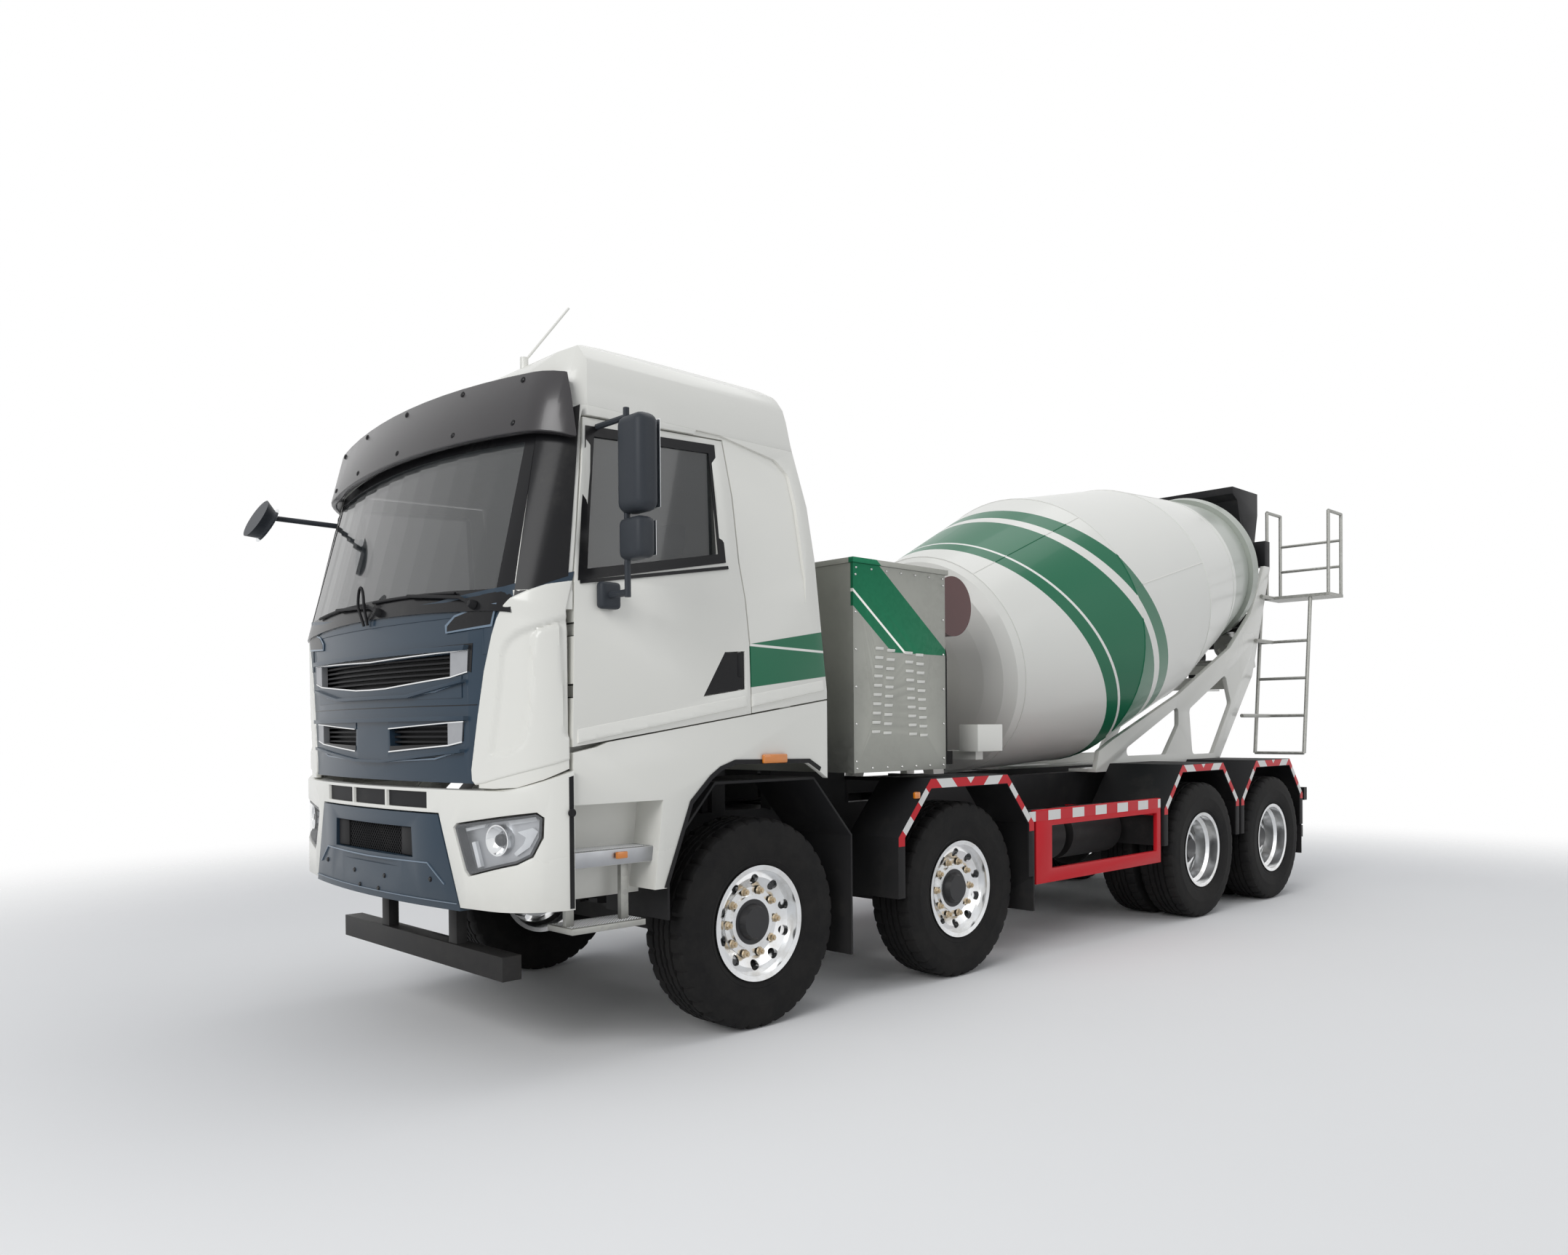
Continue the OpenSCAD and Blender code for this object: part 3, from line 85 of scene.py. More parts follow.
class Field:
    """A value, vector or colour in a material's nodes, with the arithmetic that makes new ones."""

    def __init__(self, tree, socket):
        self.tree, self.socket = tree, socket

    def make(self, kind, settings=None, links=None, out=0):
        """A new node of that kind: its settings first, then its sockets' values or links."""
        node = self.tree.nodes.new(kind)
        for key, value in (settings or {}).items():
            if key == "stops":
                ramp = node.color_ramp
                while len(ramp.elements) < len(value):
                    ramp.elements.new(1.0)
                for element, (place, colour) in zip(ramp.elements, value):
                    element.position, element.color = place, colour
            else:
                setattr(node, key, value)
        for key, value in (links or {}).items():
            if isinstance(value, Field):
                self.tree.links.new(value.socket, node.inputs[key])
            else:
                node.inputs[key].default_value = value
        return Field(self.tree, node.outputs[out])

    def math(self, operation, *terms, clamp=False):
        links = dict(enumerate(terms))
        return self.make("ShaderNodeMath", {"operation": operation, "use_clamp": clamp}, links)

    def sine(self):
        return self.math("SINE", self)

    def __add__(self, other):
        return self.math("ADD", self, other)

    __radd__ = __add__

    def __mul__(self, other):
        return self.math("MULTIPLY", self, other)

    __rmul__ = __mul__

    def __sub__(self, other):
        return self.math("SUBTRACT", self, other)

    def __rsub__(self, other):
        return self.math("SUBTRACT", other, self)

    def __truediv__(self, other):
        return self.math("DIVIDE", self, other)

    def __pow__(self, other):
        return self.math("POWER", self, other)

    def above(self, edge, soft=0.002):
        """1 where the value is over edge and 0 where it is under, with a soft step."""
        return self.make("ShaderNodeMapRange", {"interpolation_type": "SMOOTHSTEP"}, {"Value": self,
            "From Min": edge - soft, "From Max": edge + soft})

    def below(self, edge, soft=0.002):
        return 1 - self.above(edge, soft)

    def between(self, low, high, soft=0.002):
        return self.above(low, soft) * self.below(high, soft)

    def noise(self, scale, detail=3.0, rough=0.55):
        return self.make("ShaderNodeTexNoise", {}, {"Vector": self, "Scale": scale, "Detail": detail,
            "Roughness": rough})

    def split(self):
        node = self.make("ShaderNodeSeparateXYZ", {}, {0: self}).socket.node
        return [Field(self.tree, node.outputs[i]) for i in range(3)]

    def mix(self, first, second):
        """The colour first where this value is 0 and second where it is 1."""
        node = self.tree.nodes.new("ShaderNodeMix")
        node.data_type = "RGBA"
        for socket, value in zip((node.inputs["Factor"], node.inputs[6], node.inputs[7]), (self, first,
                second)):
            if isinstance(value, Field):
                self.tree.links.new(value.socket, socket)
            else:
                socket.default_value = tuple(value) + (1.0,) if len(value) == 3 else value
        return Field(self.tree, node.outputs[2])


class Finish:
    """A material with one Principled shader, and the piece's own coordinates as Fields."""

    def __init__(self, name):
        self.material = bpy.data.materials.new(name)
        self.material.use_nodes = True
        self.tree = self.material.node_tree
        self.shader = next(n for n in self.tree.nodes if n.type == "BSDF_PRINCIPLED")
        coords = self.tree.nodes.new("ShaderNodeTexCoord")
        self.place = Field(self.tree, coords.outputs["Object"])
        self.x, self.y, self.z = self.place.split()

    def set(self, **sockets):
        for key, value in sockets.items():
            socket = self.shader.inputs[key.replace("_", " ")]
            if isinstance(value, Field):
                self.tree.links.new(value.socket, socket)
            else:
                socket.default_value = tuple(value) + (1.0,) if isinstance(value, (tuple,
                    list)) and len(value) == 3 else value
        return self.material

    def bump(self, height, strength, distance=0.002):
        return height.make("ShaderNodeBump", {}, {"Height": height, "Strength": strength, "Distance": distance})

    def stretched(self, sx, sy, sz):
        return self.place.make("ShaderNodeMapping", {}, {"Vector": self.place, "Scale": (sx, sy, sz)})


def road_dust(f, top=1.15, bottom=0.35):
    """How dusty a place is: more near the road, broken up by noise."""
    low = f.z.make("ShaderNodeMapRange", {"interpolation_type": "SMOOTHSTEP"}, {"Value": f.z,
        "From Min": bottom, "From Max": top, "To Min": 1.0, "To Max": 0.0})
    return low * f.place.noise(5.0, 6.0, 0.7)


def gloss_paint(name, colour, dust=0.5, rough=0.24, marks=None, sheen=0.4):
    """Sprayed paint: faint tone changes, orange peel and dust near the road; marks(f, colour) lays stripes on it."""
    f = Finish(name)
    tone = f.place.noise(1.1, 2.0)
    shade = tone.mix(times(colour, 0.965), times(colour, 1.02))
    if marks:
        shade = marks(f, shade)
    dirt = road_dust(f) * dust
    base = dirt.mix(shade, (0.36, 0.33, 0.28))
    peel = f.place.noise(420.0, 2.0)
    return f.set(Base_Color=base, Roughness=rough + dirt * 0.5 + tone * 0.05, Specular_IOR_Level=sheen,
        Coat_Weight=sheen * 0.6, Coat_Roughness=0.06, Normal=f.bump(peel, 0.05, 0.0006))


def satin_black(name, colour=(0.011, 0.011, 0.012), rough=0.42, dust=0.14, grain=260.0):
    """Frame paint or moulded plastic: fine grain, dust in patches and paler worn spots."""
    f = Finish(name)
    grit = f.place.noise(grain, 4.0, 0.65)
    patch = f.place.noise(3.2, 5.0, 0.65)
    dirt = road_dust(f, 1.3, 0.2) * dust + patch.above(0.62, 0.12) * 0.06
    base = dirt.mix(grit.mix(colour, times(colour, 1.7)), (0.20, 0.185, 0.16))
    return f.set(Base_Color=base, Roughness=rough + dirt * 0.35 + grit * 0.1, Specular_IOR_Level=0.16,
        Normal=f.bump(grit, 0.12, 0.0008))


GREEN = (0.010, 0.150, 0.072)
WHITE = (0.80, 0.795, 0.745)
PINSTRIPE = (0.86, 0.86, 0.82)


def cab_stripe(f, shade):
    """The plain green stripe on the cab's rear quarters with its thin white line."""
    run = f.x - (0.134 + AXLE_1)
    low = f.z + run * 0.127
    height = f.z + run * 0.167
    side = (f.y * f.y).above(1.2 * 1.2, 0.01)
    along = f.x.below(0.136 + AXLE_1, 0.0015)
    band = low.above(1.750, 0.0015) * height.below(1.968, 0.0015) * side * along
    line = (f.z - run * 0.027).between(1.957, 1.969, 0.0015) * height.below(1.968, 0.0015) * side * along
    return line.mix(band.mix(shade, GREEN), PINSTRIPE)


def drum_bands(f, shade):
    """Slanted green bands round the drum, the wide one with a white pinstripe, laid from its own axis."""
    c, s = math.cos(DRUM_SLOPE), math.sin(DRUM_SLOPE)
    mid = at(*DRUM_MID)
    dx, dz = f.x - mid.x, f.z - mid.z
    along = dz * s - dx * c
    up = dz * c + dx * s
    slant = along + up * 0.55
    belly = along.between(-1.10, 1.28)
    wide, slim, pin = (slant.between(*edges) * belly for edges in ((-0.62, 0.02), (0.12, 0.30), (-0.50,
        -0.475)))
    painted = (wide + slim).mix(shade, GREEN)
    cone = along.above(2.35, 0.01)
    return cone.mix(pin.mix(painted, PINSTRIPE), (0.47, 0.50, 0.45))


def cabinet_bands(f, shade):
    """A slanted green band with a white pinstripe over the cabinet's upper half."""
    slant = f.z - (f.x - AXLE_1) * 0.75
    side = (f.y * f.y).above(1.13 * 1.13, 0.01)
    low = f.z.above(1.98, 0.0015) * side
    band = slant.between(2.78, 3.19, 0.0015) * low
    pin = slant.between(2.86, 2.878, 0.0015) * low
    return pin.mix(band.mix(shade, GREEN), PINSTRIPE)


def galvanised(name, marks=None, tone=(0.40, 0.40, 0.375), spread=1.0):
    """Zinc sheet: spangle and dull patches."""
    f = Finish(name)
    cells = f.place.make("ShaderNodeTexVoronoi", {"feature": "F1"}, {"Vector": f.place, "Scale": 46.0}, out=1)
    spangle = cells.split()[0]
    patch = f.place.noise(2.4, 4.0, 0.6)
    base = spangle.mix(times(tone, 1 - 0.18 * spread), times(tone, 1 + 0.12 * spread))
    base = patch.above(0.55, 0.2).mix(base, times(tone, 0.88))
    if marks:
        base = marks(f, base)
    return f.set(Base_Color=base, Metallic=0.75, Roughness=0.36 + spangle * 0.14 + patch * 0.1,
        Normal=f.bump(spangle, 0.05, 0.0006))


def polished_alloy(name, axle):
    """Turned bright alloy round one axle, with the black painted hub inside it."""
    f = Finish(name)
    dx, dz = f.x - at(AXLES[axle], 0, 0).x, f.z - AXLE_Z / 1000
    radius = (dx * dx + dz * dz) ** 0.5
    turned = (radius * 900.0).sine() * 0.5 + 0.5
    stain = f.place.noise(9.0, 5.0, 0.6)
    hub = radius.below(0.118, 0.002)
    dust = stain.above(0.55, 0.15) * 0.35
    base = hub.mix(dust.mix((0.83, 0.84, 0.85), (0.52, 0.49, 0.44)), (0.02, 0.02, 0.022))
    return f.set(Base_Color=base, Metallic=1 - hub * 0.9, Roughness=0.16 + stain * 0.12 + hub * 0.25,
        Normal=f.bump(turned, 0.03, 0.0004))


def bare_metal(name, colour, rough=0.25, metallic=1.0):
    """Plated or machined metal with smears and fine scratches."""
    f = Finish(name)
    smear = f.place.noise(14.0, 5.0, 0.6)
    scratch = f.stretched(30, 400, 400).noise(4.0, 2.0)
    return f.set(Base_Color=smear.mix(colour, times(colour, 0.82)), Metallic=metallic,
        Roughness=rough + smear * 0.16, Normal=f.bump(scratch, 0.04, 0.0004))


def rubber(name, colour=(0.006, 0.006, 0.0065), dust=0.18):
    """Tyre and hose rubber: mould grain with road dust in patches."""
    f = Finish(name)
    grain = f.place.noise(300.0, 3.0)
    patch = f.place.noise(6.0, 6.0, 0.7)
    dirt = patch.above(0.50, 0.25) * 0.30 * dust
    base = dirt.mix(grain.mix(colour, times(colour, 1.5)), (0.19, 0.175, 0.15))
    return f.set(Base_Color=base, Roughness=0.66 + dirt * 0.5 + grain * 0.1, Specular_IOR_Level=0.16,
        Normal=f.bump(grain, 0.15, 0.0008))


def tinted_glass(name, colour, alpha, rough=0.03, coat=1.0):
    """Safety glass with a faint film of dust."""
    f = Finish(name)
    film = f.place.noise(3.0, 5.0, 0.6)
    f.material.surface_render_method = "BLENDED"
    return f.set(Base_Color=film.mix(colour, tuple(c * 1.5 + 0.01 for c in colour)),
        Roughness=rough + film * 0.05, Alpha=alpha, Coat_Weight=coat, Coat_Roughness=0.02)


def lens(name, colour, ribs=300.0, rough=0.12):
    """Moulded lamp lens with fine upright ribs."""
    f = Finish(name)
    rib = ((f.x + f.y) * ribs).sine()
    glow = f.place.noise(20.0)
    return f.set(Base_Color=glow.mix(colour, times(colour, 0.75)), Roughness=rough + glow * 0.08,
        Coat_Weight=0.8, Coat_Roughness=0.03, Normal=f.bump(rib, 0.12, 0.001))


def red_white_tape(name, middle=None):
    """Reflective tape in red and white lengths, along X or round the wheel whose middle is given."""
    f = Finish(name)
    length = f.x if middle is None else (f.x - middle).math("ABSOLUTE", f.x - middle) - f.z
    run = (length / 0.30).math("FRACT", length / 0.30)
    cells = f.place.make("ShaderNodeTexVoronoi", {"feature": "DISTANCE_TO_EDGE"}, {"Vector": f.place,
        "Scale": 240.0})
    return f.set(Base_Color=run.above(0.5, 0.004).mix((0.55, 0.010, 0.020), (0.74, 0.74, 0.72)),
        Roughness=0.32 + f.place.noise(8.0) * 0.12, Specular_IOR_Level=0.25, Normal=f.bump(cells, 0.08, 0.0005))


def woven_cloth(name, colour, threads=2400.0):
    """Seat cloth: a fine weave and rubbed patches."""
    f = Finish(name)
    weft = (f.x * threads).sine()
    warp = (f.y * threads).sine()
    rubbed = f.place.noise(7.0, 4.0)
    return f.set(Base_Color=rubbed.mix(colour, times(colour, 1.6)), Roughness=0.86 + rubbed * 0.08,
        Normal=f.bump(weft * warp, 0.25, 0.0006))


PAINT = {
    "white_paint": gloss_paint("cab white paint", WHITE),
    "cab_paint": gloss_paint("cab white paint with stripe", WHITE, marks=cab_stripe, sheen=0.3),
    "drum_paint": gloss_paint("drum paint with slanted bands", (0.80, 0.80, 0.755), dust=0.2, rough=0.3,
        marks=drum_bands, sheen=0.25),
    "slate_paint": gloss_paint("slate front paint", (0.026, 0.047, 0.072), rough=0.3, sheen=0.22, dust=0.2),
    "red_paint": gloss_paint("red guard paint", (0.58, 0.006, 0.016), rough=0.35, dust=0.08, sheen=0.15),
    "black_paint": satin_black("satin black frame paint"),
    "black_plastic": satin_black("moulded black plastic", (0.010, 0.010, 0.011), 0.5, 0.1, 420.0),
    "mirror_shell": satin_black("grey-blue mirror housing", (0.030, 0.034, 0.040), 0.38, 0.1, 420.0),
    "gloss_black": satin_black("glossy black trim", (0.010, 0.010, 0.011), 0.16, 0.1, 600.0),
    "galvanised": galvanised("galvanised steel"),
    "cabinet": galvanised("satin steel cabinet with slanted band", cabinet_bands, (0.34, 0.345, 0.315), 0.2),
    "tank_paint": gloss_paint("dark red tank paint", (0.085, 0.022, 0.022), dust=0.1),
    "roller_steel": bare_metal("turned roller steel", (0.55, 0.55, 0.54), 0.28),
    "chrome": bare_metal("chrome trim", (0.86, 0.87, 0.88), 0.06),
    # Lighter slate: the slate paint made pale as a painted highlight on ledges and rims that catch the light
    "slate_highlight": gloss_paint("slate paint lightened as painted highlight", (0.16, 0.22, 0.29), rough=0.25, sheen=0.3),
    "satin_alloy": bare_metal("satin alloy block", (0.66, 0.67, 0.68), 0.3),
    "brass_nut": bare_metal("pale passivated nut", (0.60, 0.50, 0.36), 0.3),
    "grey_alloy": bare_metal("grey satin alloy", (0.40, 0.41, 0.43), 0.34),
    "hose_rubber": rubber("black hose rubber", dust=0.2),
    "tyre": rubber("tyre rubber"),
    "window_glass": tinted_glass("tinted window glass", (0.02, 0.024, 0.026), 0.62),
    "visor_tint": tinted_glass("smoked visor acrylic", (0.020, 0.018, 0.020), 0.95, 0.22, 0.12),
    "lamp_clear": tinted_glass("clear lamp cover", (0.70, 0.72, 0.74), 0.07, 0.03, 0.4),
    "mirror": bare_metal("mirror glass", (0.80, 0.82, 0.84), 0.02),
    "amber": lens("amber lens", (0.80, 0.24, 0.015)),
    "red_lens": lens("red lens", (0.52, 0.012, 0.012)),
    "white_lens": lens("clear ribbed lens", (0.78, 0.80, 0.82), 160.0),
    "tape": red_white_tape("red and white reflective tape"),
    "seat_cloth": woven_cloth("dark seat cloth", (0.035, 0.035, 0.04)),
}
GUARD_TAPE = [red_white_tape(f"tape on the guard of axle {i + 1}", at(AXLES[i], 0, 0).x) for i in range(4)]
ALLOY = [polished_alloy(f"polished alloy wheel of axle {i + 1}", i) for i in range(4)]


# Pieces


def painted(mesh, finish):
    """Gives a mesh one finish: a material, or its name in PAINT."""
    mesh.materials.clear()
    mesh.materials.append(PAINT[finish] if isinstance(finish, str) else finish)


def finished(name, mesh, body, finish, slot, *replaced):
    """A mesh as a piece of the truck: shown, riding on a body, with its finish."""
    obj = shown(name, mesh)
    painted(mesh, finish)
    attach(obj, body)
    if replaced:
        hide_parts(*replaced)
    return obj


def smooth_by_angle(mesh, degrees):
    for poly in mesh.polygons:
        poly.use_smooth = True
    mesh.set_sharp_from_angle(angle=math.radians(degrees))


def settled(bm, name, degrees, outward=True):
    """A bmesh as a mesh, with its faces turned outward and smooth up to an angle."""
    if outward:
        bmesh.ops.recalc_face_normals(bm, faces=bm.faces)
    mesh = bpy.data.meshes.new(name)
    bm.to_mesh(mesh)
    bm.free()
    smooth_by_angle(mesh, degrees)
    return mesh


def eased(node, bevel, finish, angle=26):
    """A copy of a CAD node with merged points, rounded edges and smooth bows in its place."""
    bm = bmesh.new()
    bm.from_mesh(frame["nodes"][node].data)
    bmesh.ops.remove_doubles(bm, verts=bm.verts, dist=2e-5)
    bmesh.ops.dissolve_limit(bm, angle_limit=math.radians(0.4), verts=bm.verts, edges=bm.edges)
    sharp = [e for e in bm.edges if e.is_manifold and e.calc_face_angle(0) > math.radians(angle)]
    bmesh.ops.bevel(bm, geom=sharp, offset=bevel / 1000, offset_type="OFFSET", segments=2, profile=0.5,
        affect="EDGES", clamp_overlap=True)
    mesh = settled(bm, node + "_eased", 38, False)
    return finished(node + "_eased", mesh, BODY_OF[node], finish, SLOT_OF[node], node)


EASED = [
    ("cab_shell", 9, "cab_paint"), ("cab_roof", 26, "white_paint"),
    ("door_left", 7, "white_paint"), ("door_right", 7, "white_paint"), ("bumper", 9, "white_paint"),
    ("bumper_centre", 7, "slate_paint"), ("grille_panel", 7, "slate_paint"), ("cab_fenders", 6, "white_paint"),
    ("sun_visor", 6, "visor_tint"), ("mudguards", 4, "black_plastic"), ("side_guards", 5, "red_paint"),
    ("power_cabinet", 4, "cabinet"), ("rear_pedestal", 5, "white_paint"), ("drum_drive", 5, "white_paint"),
    ("hoppers", 3, "black_paint"), ("underrun_bars", 6, "black_paint"), ("dashboard", 10, "black_plastic"),
        ("drive_motor", 10, "black_paint"),
]
for node, bevel, finish in EASED:
    eased(node, bevel, finish)

PLAIN = {
    "chassis_frame": "black_paint", "steer_axles": "black_paint", "drive_axles": "black_paint",
        "leaf_springs": "black_paint",
    "lamps": "white_lens", "water_tank": "tank_paint", "drum_rollers": "roller_steel", "ladder": "galvanised",
    "power_hose": "hose_rubber", "grille_mesh": "black_plastic", "windscreen": "window_glass",
        "seats": "seat_cloth",
    "front_mirror": "mirror_shell", "door_glass_left": "window_glass", "door_glass_right": "window_glass",
    "drum": "drum_paint", "chute_bracket": "black_paint", "chute_trough": "black_paint",
}
for axle in (1, 2):
    for side, _ in SIDES:
        PLAIN[f"knuckle_{axle}_{side}"] = "black_paint"
for node, finish in PLAIN.items():
    painted(frame["nodes"][node].data, finish)
for axle in range(4):
    for side, _ in SIDES:
        painted(frame["nodes"][f"wheel_{axle + 1}_{side}"].data, ALLOY[axle])


# Tyres

BEAD_R = 286.5
TYRE_TURNS, LUG_PITCH = 180, 5
LUG_DEPTH, SIPE_DEPTH = 11, 5


def tyre_profile():
    """Radius, width and kind of each point across a tyre, from one bead over the tread to the other."""
    wall = [(BEAD_R, 117, 0), (300, 119, 0), (308, 128, 0), (322, 134, 0), (330, 138.5, 0), (334, 137.5, 0),
        (362, 146, 0), (415, 150, 0), (420, 151, 0), (426, 150, 0), (470, 149, 0), (490, 147, 0), (508, 143,
        0), (527, 137, 1), (536, 127, 1)]
    ribs = [(541, 112, 1), (542, 72, 1), (528, 68, 0), (528, 60, 0), (542, 56, 2), (542, 26, 2), (528, 22, 0),
        (528, 14, 0), (542, 10, 2)]
    half = wall + ribs
    return half + [(r, -w, k) for r, w, k in reversed(half)]


def tyre_mesh(name, axle, side, offsets):
    """One body's tyres: a turned carcass with ribs, grooves, and lugs cut into the shoulders."""
    bm = bmesh.new()
    profile = tyre_profile()
    for offset in offsets:
        rings = []
        for i in range(TYRE_TURNS):
            a = 2 * math.pi * i / TYRE_TURNS
            ring = []
            for r, w, kind in profile:
                cut = LUG_DEPTH if kind == 1 and i % LUG_PITCH == 0 else 0
                cut = SIPE_DEPTH if kind == 2 and (i + (2 if w > 0 else 0)) % LUG_PITCH == 0 else cut
                p = at(AXLES[axle] + (r - cut) * math.cos(a), side * (offset + w),
                    AXLE_Z + (r - cut) * math.sin(a))
                ring.append(bm.verts.new(p))
            rings.append(ring)
        for i in range(TYRE_TURNS):
            a, b = rings[i], rings[(i + 1) % TYRE_TURNS]
            for j in range(len(profile)):
                k = (j + 1) % len(profile)
                bm.faces.new((a[j], a[k], b[k], b[j]))
    return settled(bm, name, 28)


for axle in range(4):
    for side, sign in SIDES:
        node = f"tyre_{axle + 1}_{side}"
        offsets = [FRONT_TRACK] if axle < 2 else [REAR_TRACK - TWIN_GAP / 2, REAR_TRACK + TWIN_GAP / 2]
        finished(node + "_treaded", tyre_mesh(node, axle, sign, offsets), BODY_OF[node], "tyre", "tyre", node)


# Repeats, made with Geometry Nodes


class Grower:
    """A Geometry Nodes tree built step by step, with named inputs, turned into a plain mesh."""

    def __init__(self, name, **inputs):
        self.tree = bpy.data.node_groups.new(name, "GeometryNodeTree")
        self.tree.interface.new_socket("Geometry", in_out="OUTPUT", socket_type="NodeSocketGeometry")
        self.values = {}
        for key, value in inputs.items():
            kind = "NodeSocketInt" if isinstance(value, int) else "NodeSocketFloat"
            socket = self.tree.interface.new_socket(key, in_out="INPUT", socket_type=kind)
            self.values[socket.identifier] = value
        self.entry = self.tree.nodes.new("NodeGroupInput")

    def input(self, name):
        return self.entry.outputs[name]

    def add(self, kind, settings=None, links=None):
        node = self.tree.nodes.new(kind)
        for key, value in (settings or {}).items():
            setattr(node, key, value)
        for key, value in (links or {}).items():
            if isinstance(value, bpy.types.NodeSocket):
                self.tree.links.new(value, node.inputs[key])
            else:
                node.inputs[key].default_value = value
        return node

    def mesh(self, geometry, material, name):
        """The tree's result as a plain mesh with its instances made real and its material set."""
        real = self.add("GeometryNodeRealizeInstances", None, {"Geometry": geometry})
        painted = self.add("GeometryNodeSetMaterial", None, {"Geometry": real.outputs[0], "Material": material})
        leave = self.add("NodeGroupOutput")
        self.tree.links.new(painted.outputs[0], leave.inputs[0])
        carrier = shown(name, bpy.data.meshes.new(name + "_seed"))
        modifier = carrier.modifiers.new("grow", "NODES")
        modifier.node_group = self.tree
        for identifier, value in self.values.items():
            modifier[identifier] = value
        depsgraph = bpy.context.evaluated_depsgraph_get()
        result = bpy.data.meshes.new_from_object(carrier.evaluated_get(depsgraph))
        result.name = name
        carrier.modifiers.remove(modifier)
        bpy.data.objects.remove(carrier)
        return result


def nut_ring(name, count, radius, size, height, material):
    """Flanged nuts in a ring round Z, standing up along Z, each with a stud's end."""
    g = Grower(name, Count=count, Ring=radius / 1000, Size=size / 1000, Height=height / 1000)
    ring = g.add("GeometryNodeMeshCircle", {"fill_type": "NONE"}, {"Vertices": g.input("Count"),
        "Radius": g.input("Ring")})
    nut = g.add("GeometryNodeMeshCone", {"fill_type": "NGON"}, {"Vertices": 6,
        "Radius Bottom": g.input("Size"), "Radius Top": g.input("Size"), "Depth": g.input("Height")})
    flange = g.add("GeometryNodeMeshCone", {"fill_type": "NGON"}, {"Vertices": 14,
        "Radius Bottom": size / 1000 * 1.35, "Radius Top": size / 1000 * 1.05, "Depth": height / 3500})
    stud = g.add("GeometryNodeMeshCone", {"fill_type": "NGON"}, {"Vertices": 10,
        "Radius Bottom": size / 1000 * 0.55, "Radius Top": size / 1000 * 0.5, "Depth": height / 1000 * 1.35})
    joined = g.add("GeometryNodeJoinGeometry")
    for part in (nut, flange, stud):
        g.tree.links.new(part.outputs[0], joined.inputs[0])
    placed = g.add("GeometryNodeInstanceOnPoints", None, {"Points": ring.outputs[0],
        "Instance": joined.outputs[0]})
    return g.mesh(placed.outputs[0], material, name)


def moved(mesh, matrix):
    mesh.transform(matrix)
    mesh.update()
    return mesh


NUT, NUT_COUNT, NUT_RING = 17, 10, 167.5
for axle in range(4):
    for side, sign in SIDES:
        name = f"wheel_nuts_{axle + 1}_{side}"
        finish, height, y = ("brass_nut", 22, FRONT_TRACK + 71) if axle < 2 else ("roller_steel", 30,
            REAR_TRACK + 34)
        ring = nut_ring(name, NUT_COUNT, NUT_RING, NUT, height, PAINT[finish])
        turn = Matrix.Rotation(-sign * math.pi / 2, 4, "X")
        place = Matrix.Translation(at(AXLES[axle], sign * y, AXLE_Z))
        finished(name, moved(ring, place @ turn), BODY_OF[f"wheel_{axle + 1}_{side}"], finish, "roller_steel")


# Sheets that hug the cab


BOW_TURN = math.asin((HALF_W - BOW_CORNER) / (BOW_R - BOW_CORNER))
BOW_LENGTH = BOW_R * BOW_TURN
CORNER_X = CAB_FRONT - BOW_R + (BOW_R - BOW_CORNER) * math.cos(BOW_TURN)
CORNER_Y = HALF_W - BOW_CORNER


def plan_point(length, out):
    """X and Y on the cab's front seen from above, at a length from its middle, out from the skin."""
    run, side = abs(length), math.copysign(1, length)
    if run <= BOW_LENGTH:
        a = run / BOW_R
        x, y = CAB_FRONT - BOW_R + (BOW_R + out) * math.cos(a), (BOW_R + out) * math.sin(a)
    elif run <= BOW_LENGTH + BOW_CORNER * (math.pi / 2 - BOW_TURN):
        a = BOW_TURN + (run - BOW_LENGTH) / BOW_CORNER
        x, y = CORNER_X + (BOW_CORNER + out) * math.cos(a), CORNER_Y + (BOW_CORNER + out) * math.sin(a)
    else:
        x, y = CORNER_X - (run - BOW_LENGTH - BOW_CORNER * (math.pi / 2 - BOW_TURN)), HALF_W + out
    return x, side * y


def plan_length(y):
    """The length along the cab's front at which it is y from the middle."""
    side, y = math.copysign(1, y), abs(y)
    if y <= BOW_R * math.sin(BOW_TURN):
        return side * BOW_R * math.asin(y / BOW_R)
    return side * (BOW_LENGTH + BOW_CORNER * (math.asin(min(1, (y - CORNER_Y) / BOW_CORNER)) - BOW_TURN))


def on_front(y, z, out):
    """On the upright front: y across, z up."""
    px, py = plan_point(plan_length(y), out)
    return at(px, py, z)


def leaned(px, py, v):
    """Leans a point that stands v above the windscreen's foot back by the rake."""
    dx = px - CAB_FRONT
    c, s = math.cos(SCREEN_RAKE), math.sin(SCREEN_RAKE)
    return at(CAB_FRONT + dx * c - v * s, py, SCREEN_LOW + dx * s + v * c)


def on_screen(y, v, out):
    """On the leaning windscreen: y across, v up the slope."""
    px, py = plan_point(plan_length(y), out)
    return leaned(px, py, v)


def round_corner(length, v, out):
    """On the leaning front and its corners: a length along it, v up the slope."""
    px, py = plan_point(length, out)
    return leaned(px, py, v)


def on_cab(length, z, out):
    """On the cab's front by the length along it: upright up to the windscreen's foot and leaning above it."""
    px, py = plan_point(length, out)
    dx = px - CAB_FRONT
    foot = SCREEN_LOW + dx * math.sin(SCREEN_RAKE)
    if z > foot:
        return leaned(px, py, (z - foot) / math.cos(SCREEN_RAKE))
    ease = max(0, (z - foot + 80) / 80)
    return at(px - dx * (1 - math.cos(SCREEN_RAKE)) * ease * ease * (3 - 2 * ease), py, z)


def on_flank(side):
    """On a cab's side, which leans in above the waist."""
    def place(x, z, out):
        lean = 20 * min(1, max(0, z - 2190) / 180) + 2 * min(1, max(0, z - 2370) / 320) + 38 * max(0,
            z - 2690) / 310
        return at(x, side * (HALF_W - lean + out), z)
    return place


